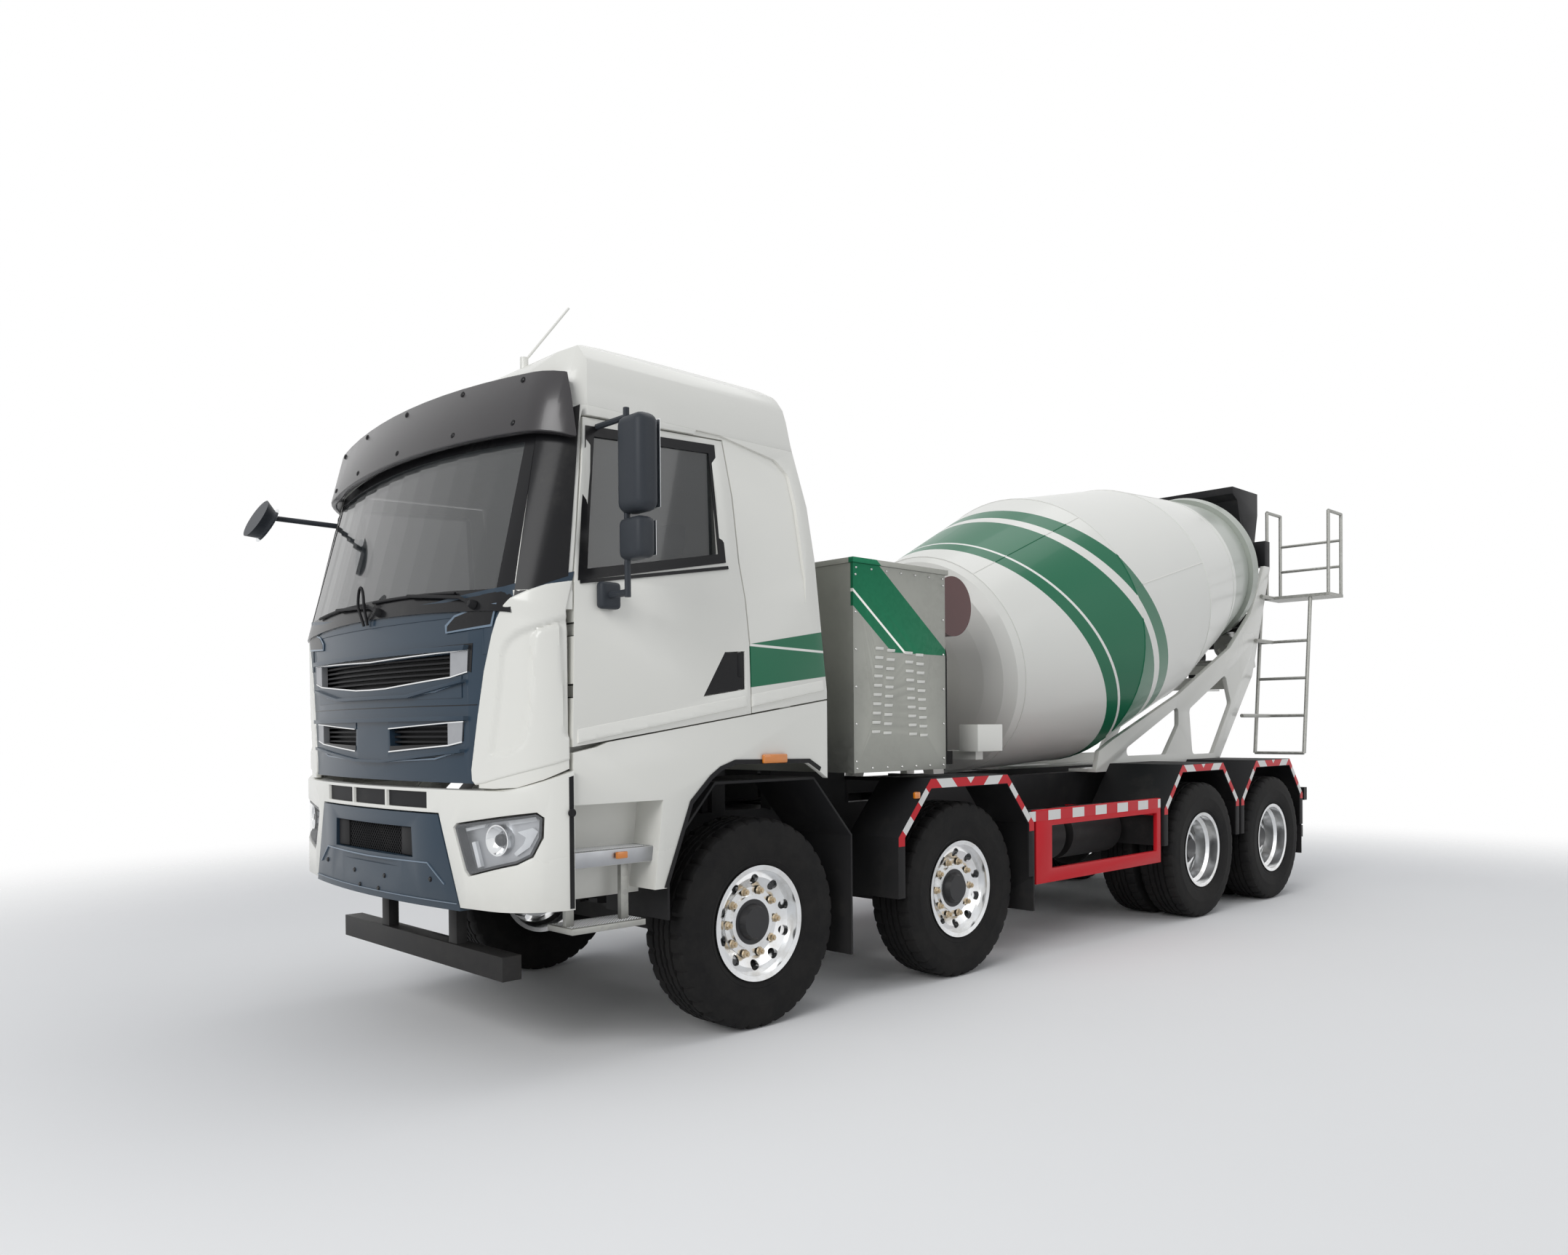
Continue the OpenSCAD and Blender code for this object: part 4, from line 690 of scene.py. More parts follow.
def on_plane_y(y, side):
    """On an upright plane that faces sideways."""
    return lambda x, z, out: at(x, side * (y + out), z)


def flat_faces(outlines):
    """Flat outlines as one bmesh, joined where their corners meet."""
    bm = bmesh.new()
    for outline in outlines:
        bm.faces.new([bm.verts.new((u, v, 0)) for u, v in outline])
    bmesh.ops.remove_doubles(bm, verts=bm.verts, dist=0.01)
    return bm


def cut_across(bm, axis, step):
    """Cuts flat faces at every step along an axis."""
    places = [v.co[axis] for v in bm.verts]
    cut = min(places) + step
    while cut < max(places):
        geometry = bm.verts[:] + bm.edges[:] + bm.faces[:]
        point = (0, cut, 0) if axis else (cut, 0, 0)
        bmesh.ops.bisect_plane(bm, geom=geometry, plane_co=point, plane_no=(1 - axis, axis, 0))
        cut += step


def between(name, bm, place, inner, outer, mirrored, degrees):
    """Flat faces made into a solid on a surface, between two distances from it that depend on the flat place."""
    bm.verts.index_update()
    flat = [(v.co.x, v.co.y) for v in bm.verts]
    polygons = [[v.index for v in f.verts] for f in bm.faces]
    rim = [(e.verts[0].index, e.verts[1].index) for e in bm.edges if len(e.link_faces) == 1]
    bm.free()
    skins = [[place(u, v, out(u, v)) for u, v in flat] for out in (inner, outer)]
    solid = bmesh.new()
    for flip in ((1, -1) if mirrored else (1,)):
        low, high = ([solid.verts.new((p.x, flip * p.y, p.z)) for p in skin] for skin in skins)
        for poly in polygons:
            solid.faces.new([low[i] for i in poly])
            solid.faces.new([high[i] for i in reversed(poly)])
        for a, b in rim:
            solid.faces.new((low[a], low[b], high[b], high[a]))
    return settled(solid, name, degrees)


def hugging(name, faces, place, inner, outer, body, finish, slot, step=60, mirrored=False):
    """A thin solid that follows a surface: flat outlines, cut finely across, set between two distances from it."""
    bm = flat_faces(faces)
    cut_across(bm, 0, step)
    mesh = between(name, bm, place, lambda u, v: inner, lambda u, v: outer, mirrored, 30)
    return finished(name, mesh, body, finish, slot)


def depth_inside(outline, u, v):
    """How far a flat point is inside an outline, or minus how far it is outside."""
    inside, near = False, 1e9
    for (ax, ay), (bx, by) in zip(outline, outline[1:] + outline[:1]):
        t = ((u - ax) * (bx - ax) + (v - ay) * (by - ay)) / ((bx - ax) ** 2 + (by - ay) ** 2)
        t = min(1, max(0, t))
        near = min(near, math.hypot(u - ax - t * (bx - ax), v - ay - t * (by - ay)))
        if (ay > v) != (by > v) and u < ax + (v - ay) * (bx - ax) / (by - ay):
            inside = not inside
    return near if inside else -near


def step_up(value, width):
    """0 below minus width, 1 above width and a smooth slope between."""
    t = min(1, max(0, (value + width) / (2 * width)))
    return t * t * (3 - 2 * t)


def sculpted(name, outline, place, height, back, body, finish, slot, step=12, edge=9, mirrored=True):
    """A moulded panel: an outline cut into a fine grid, its face raised by height(u, v) and rounded at its rim."""
    rims = [outline, grown(outline, -edge / 3), grown(outline, -edge)]
    bm = flat_faces(ring_of(rims[0], rims[1]) + ring_of(rims[1], rims[2]) + [rims[2]])
    for axis in (0, 1):
        cut_across(bm, axis, step)

    def top(u, v):
        near = min(edge, max(0, depth_inside(outline, u, v)))
        return height(u, v) - edge + math.sqrt(max(0, edge ** 2 - (edge - near) ** 2))

    mesh = between(name, bm, place, lambda u, v: back, top, mirrored, 42)
    return finished(name, mesh, body, finish, slot)


def ring_of(outer, inner):
    """The quads between two outlines with as many corners."""
    n = len(outer)
    return [[outer[i], outer[(i + 1) % n], inner[(i + 1) % n], inner[i]] for i in range(n)]


def grown(outline, by):
    """An outline with each edge moved out by a distance."""
    n = len(outline)
    area = sum(outline[i][0] * outline[(i + 1) % n][1] - outline[(i + 1) % n][0] * outline[i][1] for i in range(n))
    turn = 1 if area > 0 else -1
    result = []
    for i in range(n):
        p, q, r = Vector(outline[i - 1]), Vector(outline[i]), Vector(outline[(i + 1) % n])
        a, b = (q - p).normalized(), (r - q).normalized()
        na, nb = Vector((a.y, -a.x)) * turn, Vector((b.y, -b.x)) * turn
        result.append(tuple(q + (na + nb) * by / (1 + na.dot(nb))))
    return result


def joined(name, parts):
    """Several meshes as one."""
    bm = bmesh.new()
    for part in parts:
        bm.from_mesh(part)
    mesh = bpy.data.meshes.new(name)
    bm.to_mesh(mesh)
    bm.free()
    return mesh


def assembled(name, parts, body, finish, slot, *replaced):
    """Several meshes as one piece of the truck."""
    return finished(name, joined(name, parts), body, finish, slot, *replaced)


def rounded_block(low, high, bevel=4, segments=2):
    """A box between two corners of the truck with rounded edges."""
    bm = bmesh.new()
    bmesh.ops.create_cube(bm, size=1.0)
    a, b = at(*low), at(*high)
    for v in bm.verts:
        v.co = Vector((a[i] + (v.co[i] + 0.5) * (b[i] - a[i]) for i in range(3)))
    bmesh.ops.recalc_face_normals(bm, faces=bm.faces)
    bmesh.ops.bevel(bm, geom=bm.edges[:], offset=bevel / 1000, segments=segments, profile=0.5, affect="EDGES",
        clamp_overlap=True)
    return settled(bm, "block", 40, False)


def tube(name, points, radius, sides=10, closed=False):
    """A round tube along a smooth path, with closed ends."""
    curve = bpy.data.curves.new(name, "CURVE")
    curve.dimensions = "3D"
    curve.bevel_depth = radius / 1000
    curve.bevel_resolution = max(1, sides // 4)
    curve.use_fill_caps = True
    spline = curve.splines.new("POLY")
    spline.points.add(len(points) - 1)
    spline.use_cyclic_u = closed
    for point, place in zip(spline.points, points):
        point.co = (*place, 1)
    carrier = shown(name, curve)
    mesh = bpy.data.meshes.new_from_object(carrier.evaluated_get(bpy.context.evaluated_depsgraph_get()))
    bpy.data.objects.remove(carrier)
    bpy.data.curves.remove(curve)
    mesh.name = name
    smooth_by_angle(mesh, 40)
    return mesh


def turned(name, profile, centre, axis, steps=40):
    """A profile of (radius, height) turned round an axis from a centre, closed at its poles."""
    bm = bmesh.new()
    rings = []
    spin = Vector(axis).to_track_quat("Z", "Y")
    for r, h in profile:
        if r < 0.001:
            rings.append([bm.verts.new(centre + spin @ Vector((0, 0, h / 1000)))])
        else:
            angles = [2 * math.pi * i / steps for i in range(steps)]
            points = [Vector((r / 1000 * math.cos(a), r / 1000 * math.sin(a), h / 1000)) for a in angles]
            rings.append([bm.verts.new(centre + spin @ p) for p in points])
    for a, b in zip(rings, rings[1:]):
        for i in range(steps):
            j = (i + 1) % steps
            corner = [a[i % len(a)], a[j % len(a)], b[j % len(b)], b[i % len(b)]]
            unique = list(dict.fromkeys(corner))
            if len(unique) > 2:
                bm.faces.new(unique)
    return settled(bm, name, 35)


# Cab's trim

SCREEN = [(-1110, -60), (1110, -60), (1040, 790), (-1040, 790)]
hugging("windscreen_border", ring_of(SCREEN, [(-1020, 40), (1020, 40), (985, 735), (-985, 735)]), on_screen,
    -3.6, -1.6, "cab", "gloss_black", "window_glass")
hugging("windscreen_pillar_trim", [[(1130, 10), (1338, 150), (1226, 925), (1052, 800)]], round_corner, 0.4,
    3.5, "cab", "gloss_black", "black_plastic", 25, True)

WINDOW = [(1115, 2235), (1045, 2868), (345, 2905), (308, 2385)]
for side, sign in SIDES:
    body = f"door_{side}"
    hugging(f"window_gasket_{side}", ring_of(grown(WINDOW, 30), grown(WINDOW, -16)), on_flank(sign), 0.4, 4.0,
        body, "gloss_black", "black_plastic", 400)
    hugging(f"waist_strip_{side}", [[(1138, 2200.7), (1139, 2184.8), (262, 2330), (264, 2346)]],
        on_flank(sign), 0.4, 5.0, body, "gloss_black", "black_plastic", 400)
    hugging(f"handle_cover_{side}", [grown([(440, 1700), (168, 1740), (170, 1930), (300, 1920)], -4)],
        on_flank(sign), -8, -5, body, "gloss_black", "black_plastic", 400)
    grip = rounded_block((185, sign * (HALF_W - 20), 1800), (215, sign * (HALF_W - 1), 1915), 6)
    finished(f"handle_grip_{side}", grip, body, "black_plastic", "black_plastic")


def crease(x):
    """Height of the swage along the cab's lower side."""
    return 1549 + (1167 - x) * 0.1625


def flare(x, z):
    """How far the side stands out below the swage."""
    return 1 + 12 * min(1, max(0, (crease(x) - z) / 66))


for side, sign in SIDES:
    for name, body, front, rear in ((f"door_flare_{side}", f"door_{side}", 1162, 160),
            (f"quarter_flare_{side}", "cab", 128, -392)):
        band = [(front, crease(front)), (rear, crease(rear)), (rear, crease(rear) - 58), (front,
            crease(front) - 64)]
        sculpted(name, band, on_flank(sign), flare, -9, body, "white_paint", "white_paint", 24, 8, False)

CORNER = [(868, 1322), (864, 1372), (908, 1597), (955, 1807), (1005, 1957), (1037, 2031), (1070, 2082), (1115,
    2118), (1175, 2147), (1255, 2177), (1362, 2197), (1363, 1900), (1363, 1416), (1287, 1394), (1094, 1345),
    (956, 1314), (890, 1304)]
HOLLOW = [(1420, 2040), (1338, 2026), (1220, 1990), (1143, 1964), (1094, 1928), (1068, 1886), (1036, 1652),
    (1000, 1476), (990, 1432), (1095, 1446), (1158, 1470), (1343, 1516), (1420, 1516)]
VANE = [(1232, 1976), (1213, 1955), (1205, 1839), (1194, 1651), (1180, 1545), (1156, 1488), (1092, 1440),
    (1092, 1380), (1420, 1380), (1420, 1500), (1346, 1506), (1343, 1560), (1335, 1777), (1328, 1994), (1318,
    2004)]


def corner_relief(u, v):
    """The corner's hollow, with the upright vane that stands in it."""
    return 8 - 17 * step_up(depth_inside(HOLLOW, u, v), 11) * (1 - step_up(depth_inside(VANE, u, v), 8))


corner = sculpted("corner_panels_sculpted", CORNER, on_cab, corner_relief, -40, "cab", "white_paint",
    "white_paint")
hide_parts("corner_panels")
hugging("corner_skirts", [[(912, 1291), (1010, 1290), (1135, 1297), (1250, 1331), (1360, 1376), (1360, 1424),
    (1287, 1404), (1094, 1355), (956, 1324), (912, 1316)]], on_cab, -24, 1, "cab", "white_paint",
    "white_paint", 24, True)
hugging("cowl_band", [[(0, 2052), (0, 2122), (617, 2132), (832, 2151), (1068, 2168), (1234, 2204), (1360,
    2236), (1360, 2165), (1252, 2150), (1150, 2105), (1080, 2040), (1020, 1960), (985, 1880), (945, 1880),
    (945, 2052)]], on_cab, 0.8, 2.2, "cab", "slate_paint", "slate_paint", 24, True)

# Grille: the wing-shaped openings with bright edges, end blocks and a ledge below each, the ledges in lightened slate
# as a painted highlight
hugging("grille_fillets", [[(0, 1692), (802, 1692), (802, 1792), (724, 1787), (170, 1752), (0, 1750)], [(186,
    1557), (812, 1584), (812, 1590), (186, 1590)]], on_cab, 0.5, 3, "cab", "slate_paint", "slate_paint", 40,
    True)
hugging("grille_surrounds", [[(0, 1881), (724, 1897), (852, 1900), (846, 1810), (868, 1803), (880, 1932), (0,
    1922)], [(195, 1446), (704, 1478), (704, 1486), (195, 1474)]], on_cab, 0.5, 2, "cab", "gloss_black",
    "black_plastic", 40, True)


def bright_edge(line, width):
    """A strip below a line, as quads."""
    return [[a, b, (b[0], b[1] - width), (a[0], a[1] - width)] for a, b in zip(line, line[1:])]


edges = (bright_edge([(0, 1752), (170, 1754), (724, 1789), (848, 1810)], 6) + bright_edge([(0, 1887), (724,
    1903), (856, 1906)], 5) + bright_edge([(192, 1450), (704, 1482), (806, 1498)], 6) + bright_edge([(192,
    1560), (704, 1584), (816, 1588)], 5))
hugging("grille_edges", edges, on_cab, -4, 8, "cab", "chrome", "roller_steel", 60, True)
hugging("grille_end_blocks", [[(724, 1790), (846, 1811), (853, 1900), (728, 1897)], [(702, 1481), (804, 1498),
    (813, 1584), (702, 1579)]], on_cab, -24, 7, "cab", "grey_alloy", "roller_steel", 60, True)
# The ledges take the lightened slate: a painted highlight along each ledge
ledges = bright_edge([(0, 1712), (400, 1716), (607, 1728), (826, 1774)], 7) + bright_edge([(150, 1402), (603,
    1421), (810, 1462)], 7)
hugging("grille_ledges", ledges, on_cab, 0.5, 9, "cab", "slate_highlight", "slate_paint", 40, True)
hugging("grille_seam", [[(-905, 1657), (905, 1657), (905, 1661), (-905, 1661)]], on_cab, 0.3, 0.9, "cab",
    "gloss_black", "black_plastic", 60)
VENT = [(688, 2021), (758, 2062), (931, 2092), (1046, 2098), (1013, 1998), (692, 1984)]
# The vents' rims take the lightened slate: a painted highlight round each vent
hugging("corner_vent_edges", [VENT], on_cab, 2.3, 6, "cab", "slate_highlight", "slate_paint", 40, True)
hugging("corner_vents", [[(706, 2016), (764, 2053), (932, 2085), (1034, 2091), (1004, 2008), (704, 1992)]],
    on_cab, 6.1, 7.2, "cab", "gloss_black", "black_plastic", 40, True)


def wiper(y0, y1, pivot):
    """One wiper at rest along the windscreen's foot: its arm, its blade and the cap on its shaft."""
    blade = tube("blade", [on_screen(y0 + (y1 - y0) * i / 8, 24 + 4 * math.sin(i * 0.4), 8) for i in range(9)],
        7)
    arm = tube("arm", [on_screen(pivot, -30, 16), on_screen(pivot - 90, 0, 20), on_screen((y0 + y1) / 2, 26,
        20)], 8)
    cap = turned("cap", [(0, 26), (14, 24), (20, 10), (22, -6), (0, -6)], on_screen(pivot, -32, 4), (1, 0,
        0.3), 20)
    return [blade, arm, cap]


assembled("wipers", wiper(-760, -60, 120) + wiper(40, 760, 900), "cab", "black_plastic", "black_plastic")
LOOP = [on_front(-30, 2066, 20)] + [on_front(-30 + 34 * math.cos(a), 2160 + 95 * math.sin(a),
    34) for a in (math.pi * (1 - i / 12) for i in range(13))] + [on_front(12, 2066, 20)]
finished("cowl_loop", tube("cowl_loop", LOOP, 7), "cab", "black_plastic", "black_plastic")

BOLTS = [(y, v) for y in (-950, -520, 0, 520, 950) for v in (800, 1010)]
assembled("visor_bolts", [
    turned("bolt", [(0, 7), (9, 6), (14, 2), (15, -2), (0, -2)], on_screen(y, v, 62), on_screen(y, v,
        82) - on_screen(y, v, 62), 16)
    for y, v in BOLTS], "cab", "gloss_black", "black_plastic")

for side, sign in SIDES:
    post, inside = HALF_W + 175, HALF_W - 45
    shells = [rounded_block((936, sign * 1390, 2480), (1055, sign * 1570, 2900), 44, 5), rounded_block((946,
        sign * 1390, 2280), (1045, sign * 1550, 2460), 32, 4), rounded_block((950, sign * (HALF_W + 0.5),
        2080), (1060, sign * (HALF_W + 50), 2200), 18, 3)]
    shells += [tube("arm", [at(1010, sign * y, z) for y, z in ends], r) for ends, r in (
        (((post, 2120), (post, 2940)), 14), (((post, 2900), (inside, 2900)), 14), (((post, 2140), (HALF_W + 20,
            2140)), 16))]
    assembled(f"mirror_{side}_rounded", shells, BODY_OF[f"mirror_{side}"], "mirror_shell",
        SLOT_OF[f"mirror_{side}"], f"mirror_{side}")
    panes = [rounded_block((933, sign * 1400, 2500), (936, sign * 1560, 2880), 2), rounded_block((943,
        sign * 1400, 2295), (946, sign * 1540, 2445), 2)]
    assembled(f"mirror_glass_{side}", panes, f"door_{side}", "mirror", "roller_steel")
MIRROR_TIP = math.radians(62)
facing = Vector((-math.sin(MIRROR_TIP), 0, -math.cos(MIRROR_TIP)))
glass = turned("front_mirror_glass", [(0, -6), (100, -3), (112, 0), (112, 1), (0, 1)], at(1560, -1300,
    2735) + facing * 0.0006, facing, 36)
finished("front_mirror_glass", glass, "cab", "mirror", "roller_steel")

# Lamps

LAMP = [(758, 1111), (780, 1129), (1219, 1187), (1246, 1167), (1242, 1081), (1202, 1000), (1139, 968), (861,
    903), (836, 926)]
hugging("headlamp_backs", [grown(LAMP, -5)], on_cab, -43, -37, "chassis", "black_plastic", "black_plastic", 24,
    True)
hugging("headlamp_bezels", ring_of(grown(LAMP, -3), grown(LAMP, -15)), on_cab, -40, 15, "chassis",
    "gloss_black", "black_plastic", 24, True)
hugging("headlamp_reflectors", [grown(LAMP, -15)], on_cab, -36.5, -29, "chassis", "grey_alloy", "lamp_lens",
    24, True)
bowls, globes = [], []
for _, sign in SIDES:
    middle = on_front(sign * 1016, 1065, -16)
    facing = on_front(sign * 1016, 1065, 4) - middle
    bowls.append(turned("bowl", [(26, -16), (40, -10), (56, 6), (63, 16), (69, 16), (70, -20), (0, -22), (0,
        -16)], middle, facing))
    globes.append(turned("globe", [(0, 14), (14, 12), (25, 4), (29, -10), (0, -14)], middle, facing, 28))
assembled("headlamp_bowls", bowls, "chassis", "chrome", "lamp_lens")
assembled("headlamp_globes", globes, "chassis", "gloss_black", "lamp_lens")
BLADES = [[(1126, 1104), (1198, 1122), (1222, 1106), (1184, 1039), (1120, 998), (1108, 1010), (1154, 1052),
    (1166, 1080)], [(842, 1046), (866, 1052), (906, 942), (882, 936)], [(800, 1108), (938, 1132), (930, 1118),
    (806, 1094)], [(1076, 1150), (1212, 1170), (1222, 1152), (1092, 1134)]]
hugging("headlamp_blades", BLADES, on_cab, -30, -12, "chassis", "white_lens", "lamp_lens", 24, True)
hugging("headlamp_covers", [grown(LAMP, -4)], on_cab, 15.3, 18.5, "chassis", "lamp_clear", "lamp_lens", 24,
    True)
TAIL = -7000
tails = {"red_lens": [], "amber": [], "white_lens": [], "black_plastic": []}
for _, sign in SIDES:
    tails["black_plastic"].append(rounded_block((TAIL - 84, sign * 780, 850), (TAIL - 60.5, sign * 1160, 935),
        5))
    for finish, y0, y1 in (("red_lens", 785, 930), ("amber", 934, 1050), ("white_lens", 1054, 1155)):
        tails[finish].append(rounded_block((TAIL - 99, sign * y0, 855), (TAIL - 83, sign * y1, 930), 6))
for finish, parts in tails.items():
    piece = assembled(f"tail_lamp_{finish}", parts, "chassis", finish, "lamp_lens")
    if finish == "black_plastic":
        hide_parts("lamps")

markers = []
for _, sign in SIDES:
    markers.append(rounded_block((-106, sign * (HALF_W + 0.5), 1368), (63, sign * (HALF_W + 20), 1414), 8, 3))
    markers.append(rounded_block((878, sign * (HALF_W - 40), 958), (938, sign * (HALF_W - 22), 990), 5))
    markers.append(rounded_block((-1190, sign * (HALF_W - 9), 1130), (-1140, sign * (HALF_W + 12), 1170), 8))
assembled("side_markers", markers, "chassis", "amber", "lamp_lens")
hugging("bumper_slots", [[(y - 179, 1191), (y + 179, 1191), (y + 179, 1265), (y - 179, 1265)] for y in (-375,
    0, 375)], on_cab, -9, 8, "chassis", "black_plastic", "black_plastic", 60)
hugging("bumper_ends", [[(1351, 768), (1370, 768), (1370, 1346), (1351, 1340)]], on_cab, 21, 23.5, "chassis",
    "black_plastic", "black_plastic", 12, True)
assembled("tow_covers", [turned("cover", [(0, 5), (16, 5), (19, 2), (19, -3), (0, -3)], at(1205,
    sign * (HALF_W + 22), 1185), (0, sign, 0), 24) for _, sign in SIDES], "chassis", "black_plastic",
    "black_plastic")
assembled("bumper_bolts", [
    turned("bolt", [(0, 6), (8, 6), (12, 2), (13, -3), (0, -3)], on_front(y, z, 24), (1, 0, 0), 14)
    for y, z in [(-578, 866), (578, 866), (-170, 850), (170, 850), (-105, 782), (105, 782)]],
    "chassis", "gloss_black", "black_plastic")
# The bumper's ledge lines take the lightened slate: a painted highlight along each ledge
hugging("bumper_ledges", bright_edge([(0, 938), (560, 944), (690, 856)], 6) + bright_edge([(0, 774), (782,
    774)], 4), on_cab, 23, 29, "chassis", "slate_highlight", "slate_paint", 60, True)
bars = []
for i in range(36):
    for lean in (-1, 1):
        y0 = -430 + i * 25
        a, b = sorted((y0, y0 + lean * 136))
        low, high = max(a, -292), min(b, 292)
        if high > low:
            ends = [(y, 960 + (y - y0) * lean) for y in (low, high)]
            bars.append(tube("bar", [at(1516, y, z) for y, z in ends], 3, 6))
assembled("bumper_mesh", bars, "chassis", "black_plastic", "black_plastic")
blinds = [rounded_block((1510, -423, 959), (1512, 423, 1096), 0.5)]
for _, sign in SIDES:
    blinds.append(rounded_block((1511, sign * 298, 961), (1526, sign * 422, 1094), 5))
assembled("bumper_blinds", blinds, "chassis", "black_plastic", "black_plastic")

# Arch trim and steps
ARCH = [(-420, 1276), (-356, 1317), (-274, 1362), (234, 1370), (329, 1340), (391, 1300), (513, 1187), (668,
    800)]
far = [(x * 1.03, 640 + (z - 640) * 1.03) for x, z in ARCH]
for side, sign in SIDES:
    hugging(f"arch_trim_{side}", [[ARCH[i], ARCH[i + 1], far[i + 1], far[i]] for i in range(1, 7)],
        on_plane_y(HALF_W, sign), 0.3, 4, BODY_OF["cab_fenders"], "black_plastic", "black_plastic", 900)
    treads = [rounded_block((768.5, sign * (HALF_W - 241.5), 638.5), (1171.5, sign * (HALF_W - 38.5), 666.5),
        3)]
    treads += [rounded_block((x - 1.5, sign * (HALF_W - 131.5), 662), (x + 41.5, sign * (HALF_W - 103.5), 934),
        3) for x in (1120, 820)]
    assembled(f"step_sheaths_{side}", treads, BODY_OF["cab_fenders"], "galvanised", "galvanised")
    sill = rounded_block((713, sign * (HALF_W - 206), 928.5), (1151.5, sign * (HALF_W - 43.5), 1001.5), 6)
    finished(f"step_sill_{side}", sill, BODY_OF["cab_fenders"], "grey_alloy", "galvanised")

for side, sign in SIDES:
    hugging(f"guard_tape_{side}", [[(-2338, 918), (-2338, 984), (-4105, 984), (-4105, 918)]],
        on_plane_y(HALF_W - 15, sign), 0.3, 1.2, "chassis", "tape", "red_paint", 900)


def guard_lip(axle, reach, top, low, inset):
    """The faceted band of a guard's outer lip, inset from its edges, as quads."""
    x = AXLES[axle]
    outer = [(x - reach, low), (x - reach, top - 330), (x - reach + 300, top), (x + reach - 300, top),
        (x + reach, top - 330), (x + reach, low)]
    inner = [(x - reach + 62, low), (x - reach + 62, top - 334), (x - reach + 304, top - 62), (x + reach - 304,
        top - 62), (x + reach - 62, top - 334), (x + reach - 62, low)]

    def between(share):
        return [(a[0] + (b[0] - a[0]) * share, a[1] + (b[1] - a[1]) * share) for a, b in zip(outer, inner)]

    near, far = between(inset), between(1 - inset)
    return [[near[i], near[i + 1], far[i + 1], far[i]] for i in range(5)]


for axle, reach, top, low, y in ((1, 690, 1242, 860, HALF_W - 10), (2, 655, 1236, 860, HALF_W - 5), (3, 655,
        1236, 860, HALF_W - 5)):
    for side, sign in SIDES:
        hugging(f"guard_lip_tape_{axle + 1}_{side}", guard_lip(axle, reach, top, low, 0.06), on_plane_y(y,
            sign), 0.3, 1.4, "chassis", GUARD_TAPE[axle], "red_paint", 900)


# Drum's seams

AXIS = Vector((-math.cos(DRUM_SLOPE), 0, math.sin(DRUM_SLOPE)))
UP = Vector((math.sin(DRUM_SLOPE), 0, math.cos(DRUM_SLOPE)))


def on_drum(s, r, degrees):
    a = math.radians(degrees)
    return at(*DRUM_MID) + AXIS * s / 1000 + (UP * math.cos(a) + Vector((0, 1, 0)) * math.sin(a)) * r / 1000


HEAD_EDGE, BELLY, SHOULDER, CONE, MOUTH = (-1250, 840), (0, 1110), (1350, 1020), (2250, 834), (2900, 700)
seams = [tube("seam", [on_drum(*edge, i * 5) for i in range(72)], 5, 8, True) for edge in (HEAD_EDGE, BELLY,
    SHOULDER, CONE)]
for first, second, turn in ((HEAD_EDGE, BELLY, 38), (BELLY, SHOULDER, 75), (SHOULDER, MOUTH, 20)):
    for half_turn in (0, 180):
        ends = [on_drum(*edge, turn + half_turn) for edge in (first, second)]
        seams.append(tube("seam", ends, 4.5, 8))
assembled("drum_seams", seams, "drum", "drum_paint", "white_paint")


# Screws, grip dots and seats


def dot_rows(name, columns, rows, pitch_u, pitch_v, radius, height, material):
    """Low round heads in a grid on the XY plane."""
    g = Grower(name, Columns=columns, Rows=rows, Radius=radius / 1000, Height=height / 1000)
    grid = g.add("GeometryNodeMeshGrid", None, {"Size X": max(1e-4, (columns - 1) * pitch_u / 1000),
        "Size Y": max(1e-4, (rows - 1) * pitch_v / 1000), "Vertices X": g.input("Columns"),
        "Vertices Y": g.input("Rows")})
    head = g.add("GeometryNodeMeshCone", {"fill_type": "NGON"}, {"Vertices": 10,
        "Radius Bottom": g.input("Radius"), "Radius Top": radius / 1000 * 0.6, "Depth": g.input("Height")})
    placed = g.add("GeometryNodeInstanceOnPoints", None, {"Points": grid.outputs[0],
        "Instance": head.outputs[0]})
    return g.mesh(placed.outputs[0], material, name)


TREADS = [(940, 1120, 1001.8, 26, 9), (970, 1105, 666.8, 26, 11)]
treads = []
for _, sign in SIDES:
    for x, y, z, columns, rows in TREADS:
        dots = dot_rows("tread_dots", columns, rows, 15, 15, 4.5, 3, PAINT["satin_alloy"])
        treads.append(moved(dots, Matrix.Translation(at(x, sign * y, z))))
assembled("step_treads", treads, "chassis", "satin_alloy", "galvanised")

# The steel louvres take the white cab paint: a painted highlight on slats that catch the light
louvres = []
for _, sign in SIDES:
    for c in range(4):
        for r in range(10):
            x = -955 - c * 100 - (60 if c > 1 else 0) + (1 if c < 2 else -1) * r * 4
            mid = at(x, sign * 1148, 2000 - r * 53 - c * 8)
            slat = rounded_block((x - 34, 1141, -9), (x + 34, 1155.5, 9), 3)
            tip = Matrix.Rotation(-sign * math.radians(14), 4, "X")
            louvres.append(moved(slat, Matrix.Translation(mid) @ tip @ Matrix.Translation(-at(x, 1148, 0))))
assembled("cabinet_louvres_painted_highlight", louvres, "chassis", "white_paint", "white_paint")

screws = []
for _, sign in SIDES:
    for columns, rows, pitch_u, pitch_v, x, z in ((7, 2, 130, 1130, -1150, 1880), (2, 6, 790, 210, -1150,
            1880)):
        heads = dot_rows("cabinet_screws", columns, rows, pitch_u, pitch_v, 7, 4, PAINT["roller_steel"])
        turn = Matrix.Rotation(-sign * math.pi / 2, 4, "X")
        screws.append(moved(heads, Matrix.Translation(at(x, sign * 1151.5, z)) @ turn))
assembled("cabinet_screws", screws, "chassis", "roller_steel", "galvanised")


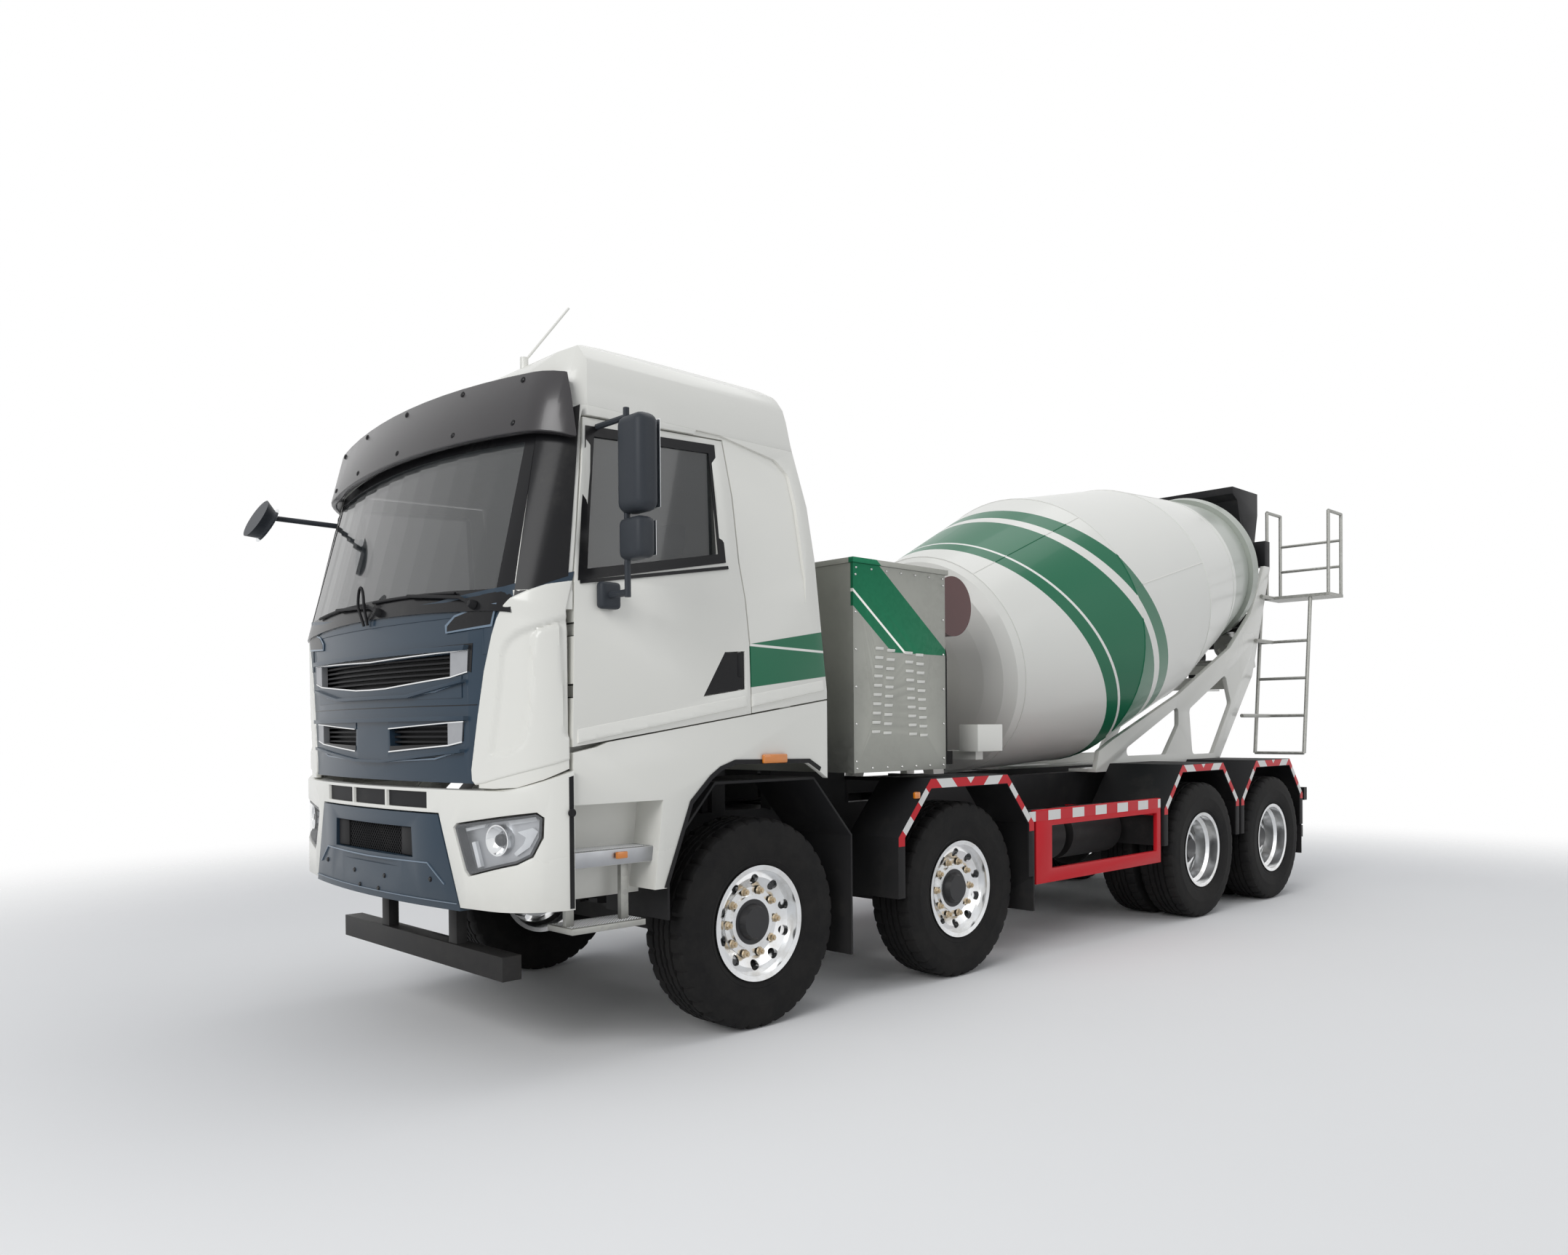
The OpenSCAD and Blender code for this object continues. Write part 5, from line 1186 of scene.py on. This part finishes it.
def cushion(low, high, crown, lean=0.0, channels=3):
    """A stuffed block: crowned faces, sides that pull in between the corners, and sewn channels."""
    bm = bmesh.new()
    bmesh.ops.create_cube(bm, size=2.0)
    bmesh.ops.subdivide_edges(bm, edges=bm.edges[:], cuts=11, use_grid_fill=True)
    a, b = at(*low), at(*high)
    mid, half = (a + b) / 2, (b - a) / 2
    half = Vector((abs(c) for c in half))
    for v in bm.verts:
        p = v.co.copy()
        edge = max(abs(p.x), abs(p.y), abs(p.z))
        soft = Vector((p.x * math.sqrt(max(0, 1 - p.y ** 2 / 2 - p.z ** 2 / 2 + p.y ** 2 * p.z ** 2 / 3)),
            p.y * math.sqrt(max(0, 1 - p.z ** 2 / 2 - p.x ** 2 / 2 + p.z ** 2 * p.x ** 2 / 3)),
            p.z * math.sqrt(max(0, 1 - p.x ** 2 / 2 - p.y ** 2 / 2 + p.x ** 2 * p.y ** 2 / 3))))
        q = p.lerp(soft * 1.22, 0.42) * edge
        q = Vector((max(-1, min(1, q.x)), max(-1, min(1, q.y)), max(-1, min(1, q.z))))
        groove = crown * (0.5 + 0.5 * math.cos(p.y * channels * math.pi)) * (1 - p.y ** 2)
        v.co = mid + Vector((q.x * half.x, q.y * half.y, q.z * half.z))
        if p.z > 0.99:
            v.co.z += groove / 1000 * (1 - abs(p.x)) - crown / 1000
        v.co.x -= lean * (v.co.z - a.z)
    return settled(bm, "cushion", 60)


for side, sign in SIDES:
    finished(f"seat_base_{side}", rounded_block((330, sign * 400, 1490.4), (650, sign * 720, 1785), 14), "cab",
        "black_plastic", "black_plastic")
    pads = [cushion((235, sign * 335, 1786), (785, sign * 795, 1905), 12), cushion((215, sign * 345, 1890),
        (335, sign * 785, 2470), 10, 0.19), cushion((95, sign * 440, 2475), (195, sign * 690, 2650), 6, 0.12)]
    seat = assembled(f"seat_pads_{side}", pads, "cab", "seat_cloth", "seat_cloth")
    if side == "left":
        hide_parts("seats")


# Camera, floor and light

YAW, PITCH, ROLL = 0.8057, -0.0117, -0.0080
FOCAL, MIDDLE_U, MIDDLE_V = 1543.4, 1071.9, 1019.75
PHOTO_W, PHOTO_H, SENSOR = 2156, 1725, 36.0

camera = bpy.data.cameras.new("camera")
camera.sensor_width = SENSOR
camera.lens = FOCAL / PHOTO_W * SENSOR
camera.shift_x = (PHOTO_W / 2 - MIDDLE_U) / PHOTO_W
camera.shift_y = (MIDDLE_V - PHOTO_H / 2) / PHOTO_W
camera.clip_end = 200.0
eye = shown("camera", camera)
look = Vector((-math.cos(PITCH) * math.cos(YAW), -math.cos(PITCH) * math.sin(YAW), math.sin(PITCH)))
eye.rotation_mode = "QUATERNION"
eye.rotation_quaternion = look.to_track_quat("-Z", "Y") @ Matrix.Rotation(ROLL, 3, "Z").to_quaternion()
eye.location = at(3921.5, 5396.6, 1542.5)
bpy.context.scene.camera = eye


def seen_by_rays(tree):
    """1 for rays that show the background: from the camera, or by way of metal and glass."""
    path = tree.nodes.new("ShaderNodeLightPath")
    seen = Field(tree, path.outputs["Is Camera Ray"])
    for kind in ("Is Glossy Ray", "Is Transmission Ray"):
        seen = seen.math("MAXIMUM", seen, Field(tree, path.outputs[kind]))
    return seen


world = bpy.data.worlds.new("studio")
bpy.context.scene.world = world
world.use_nodes = True
backdrop = world.node_tree.nodes["Background"]
lit = seen_by_rays(world.node_tree)
world.node_tree.links.new(lit.mix((0.92, 0.95, 1.0), (1.0, 1.0, 1.0)).socket, backdrop.inputs["Color"])
strength = lit * 0.58 + 0.42
world.node_tree.links.new(strength.socket, backdrop.inputs["Strength"])

floor_mesh = bpy.data.meshes.new("floor")
floor_mesh.from_pydata([(-60, -60, 0), (60, -60, 0), (60, 60, 0), (-60, 60, 0)], [], [(0, 1, 2, 3)])
floor = shown("floor", floor_mesh)
pale = Finish("pale floor")
reach = (pale.x * pale.x + pale.y * pale.y) ** 0.5
pale.set(Base_Color=pale.place.noise(0.4).mix((0.90, 0.90, 0.90), (0.93, 0.93, 0.93)), Roughness=0.9,
    Alpha=reach.below(8.5, 3.0))
floor_mesh.materials.append(pale.material)


def soft_lamp(name, place, target, size, power):
    light = bpy.data.lights.new(name, "AREA")
    light.shape = "RECTANGLE"
    light.size, light.size_y, light.energy = size, size, power
    lamp = shown(name, light)
    lamp.location = place
    lamp.rotation_mode = "QUATERNION"
    lamp.rotation_quaternion = (Vector(target) - Vector(place)).to_track_quat("-Z", "Y")


soft_lamp("key", (17.0, 5.0, 9.0), (1.0, 0.0, 1.6), 8.0, 1150)
soft_lamp("side", (-3.0, 15.0, 7.0), (-1.0, 0.0, 1.6), 8.0, 200)
soft_lamp("top", (-2.0, 1.0, 14.0), (-1.0, 0.0, 1.5), 10.0, 450)

bpy.context.scene.view_settings.view_transform = "Standard"
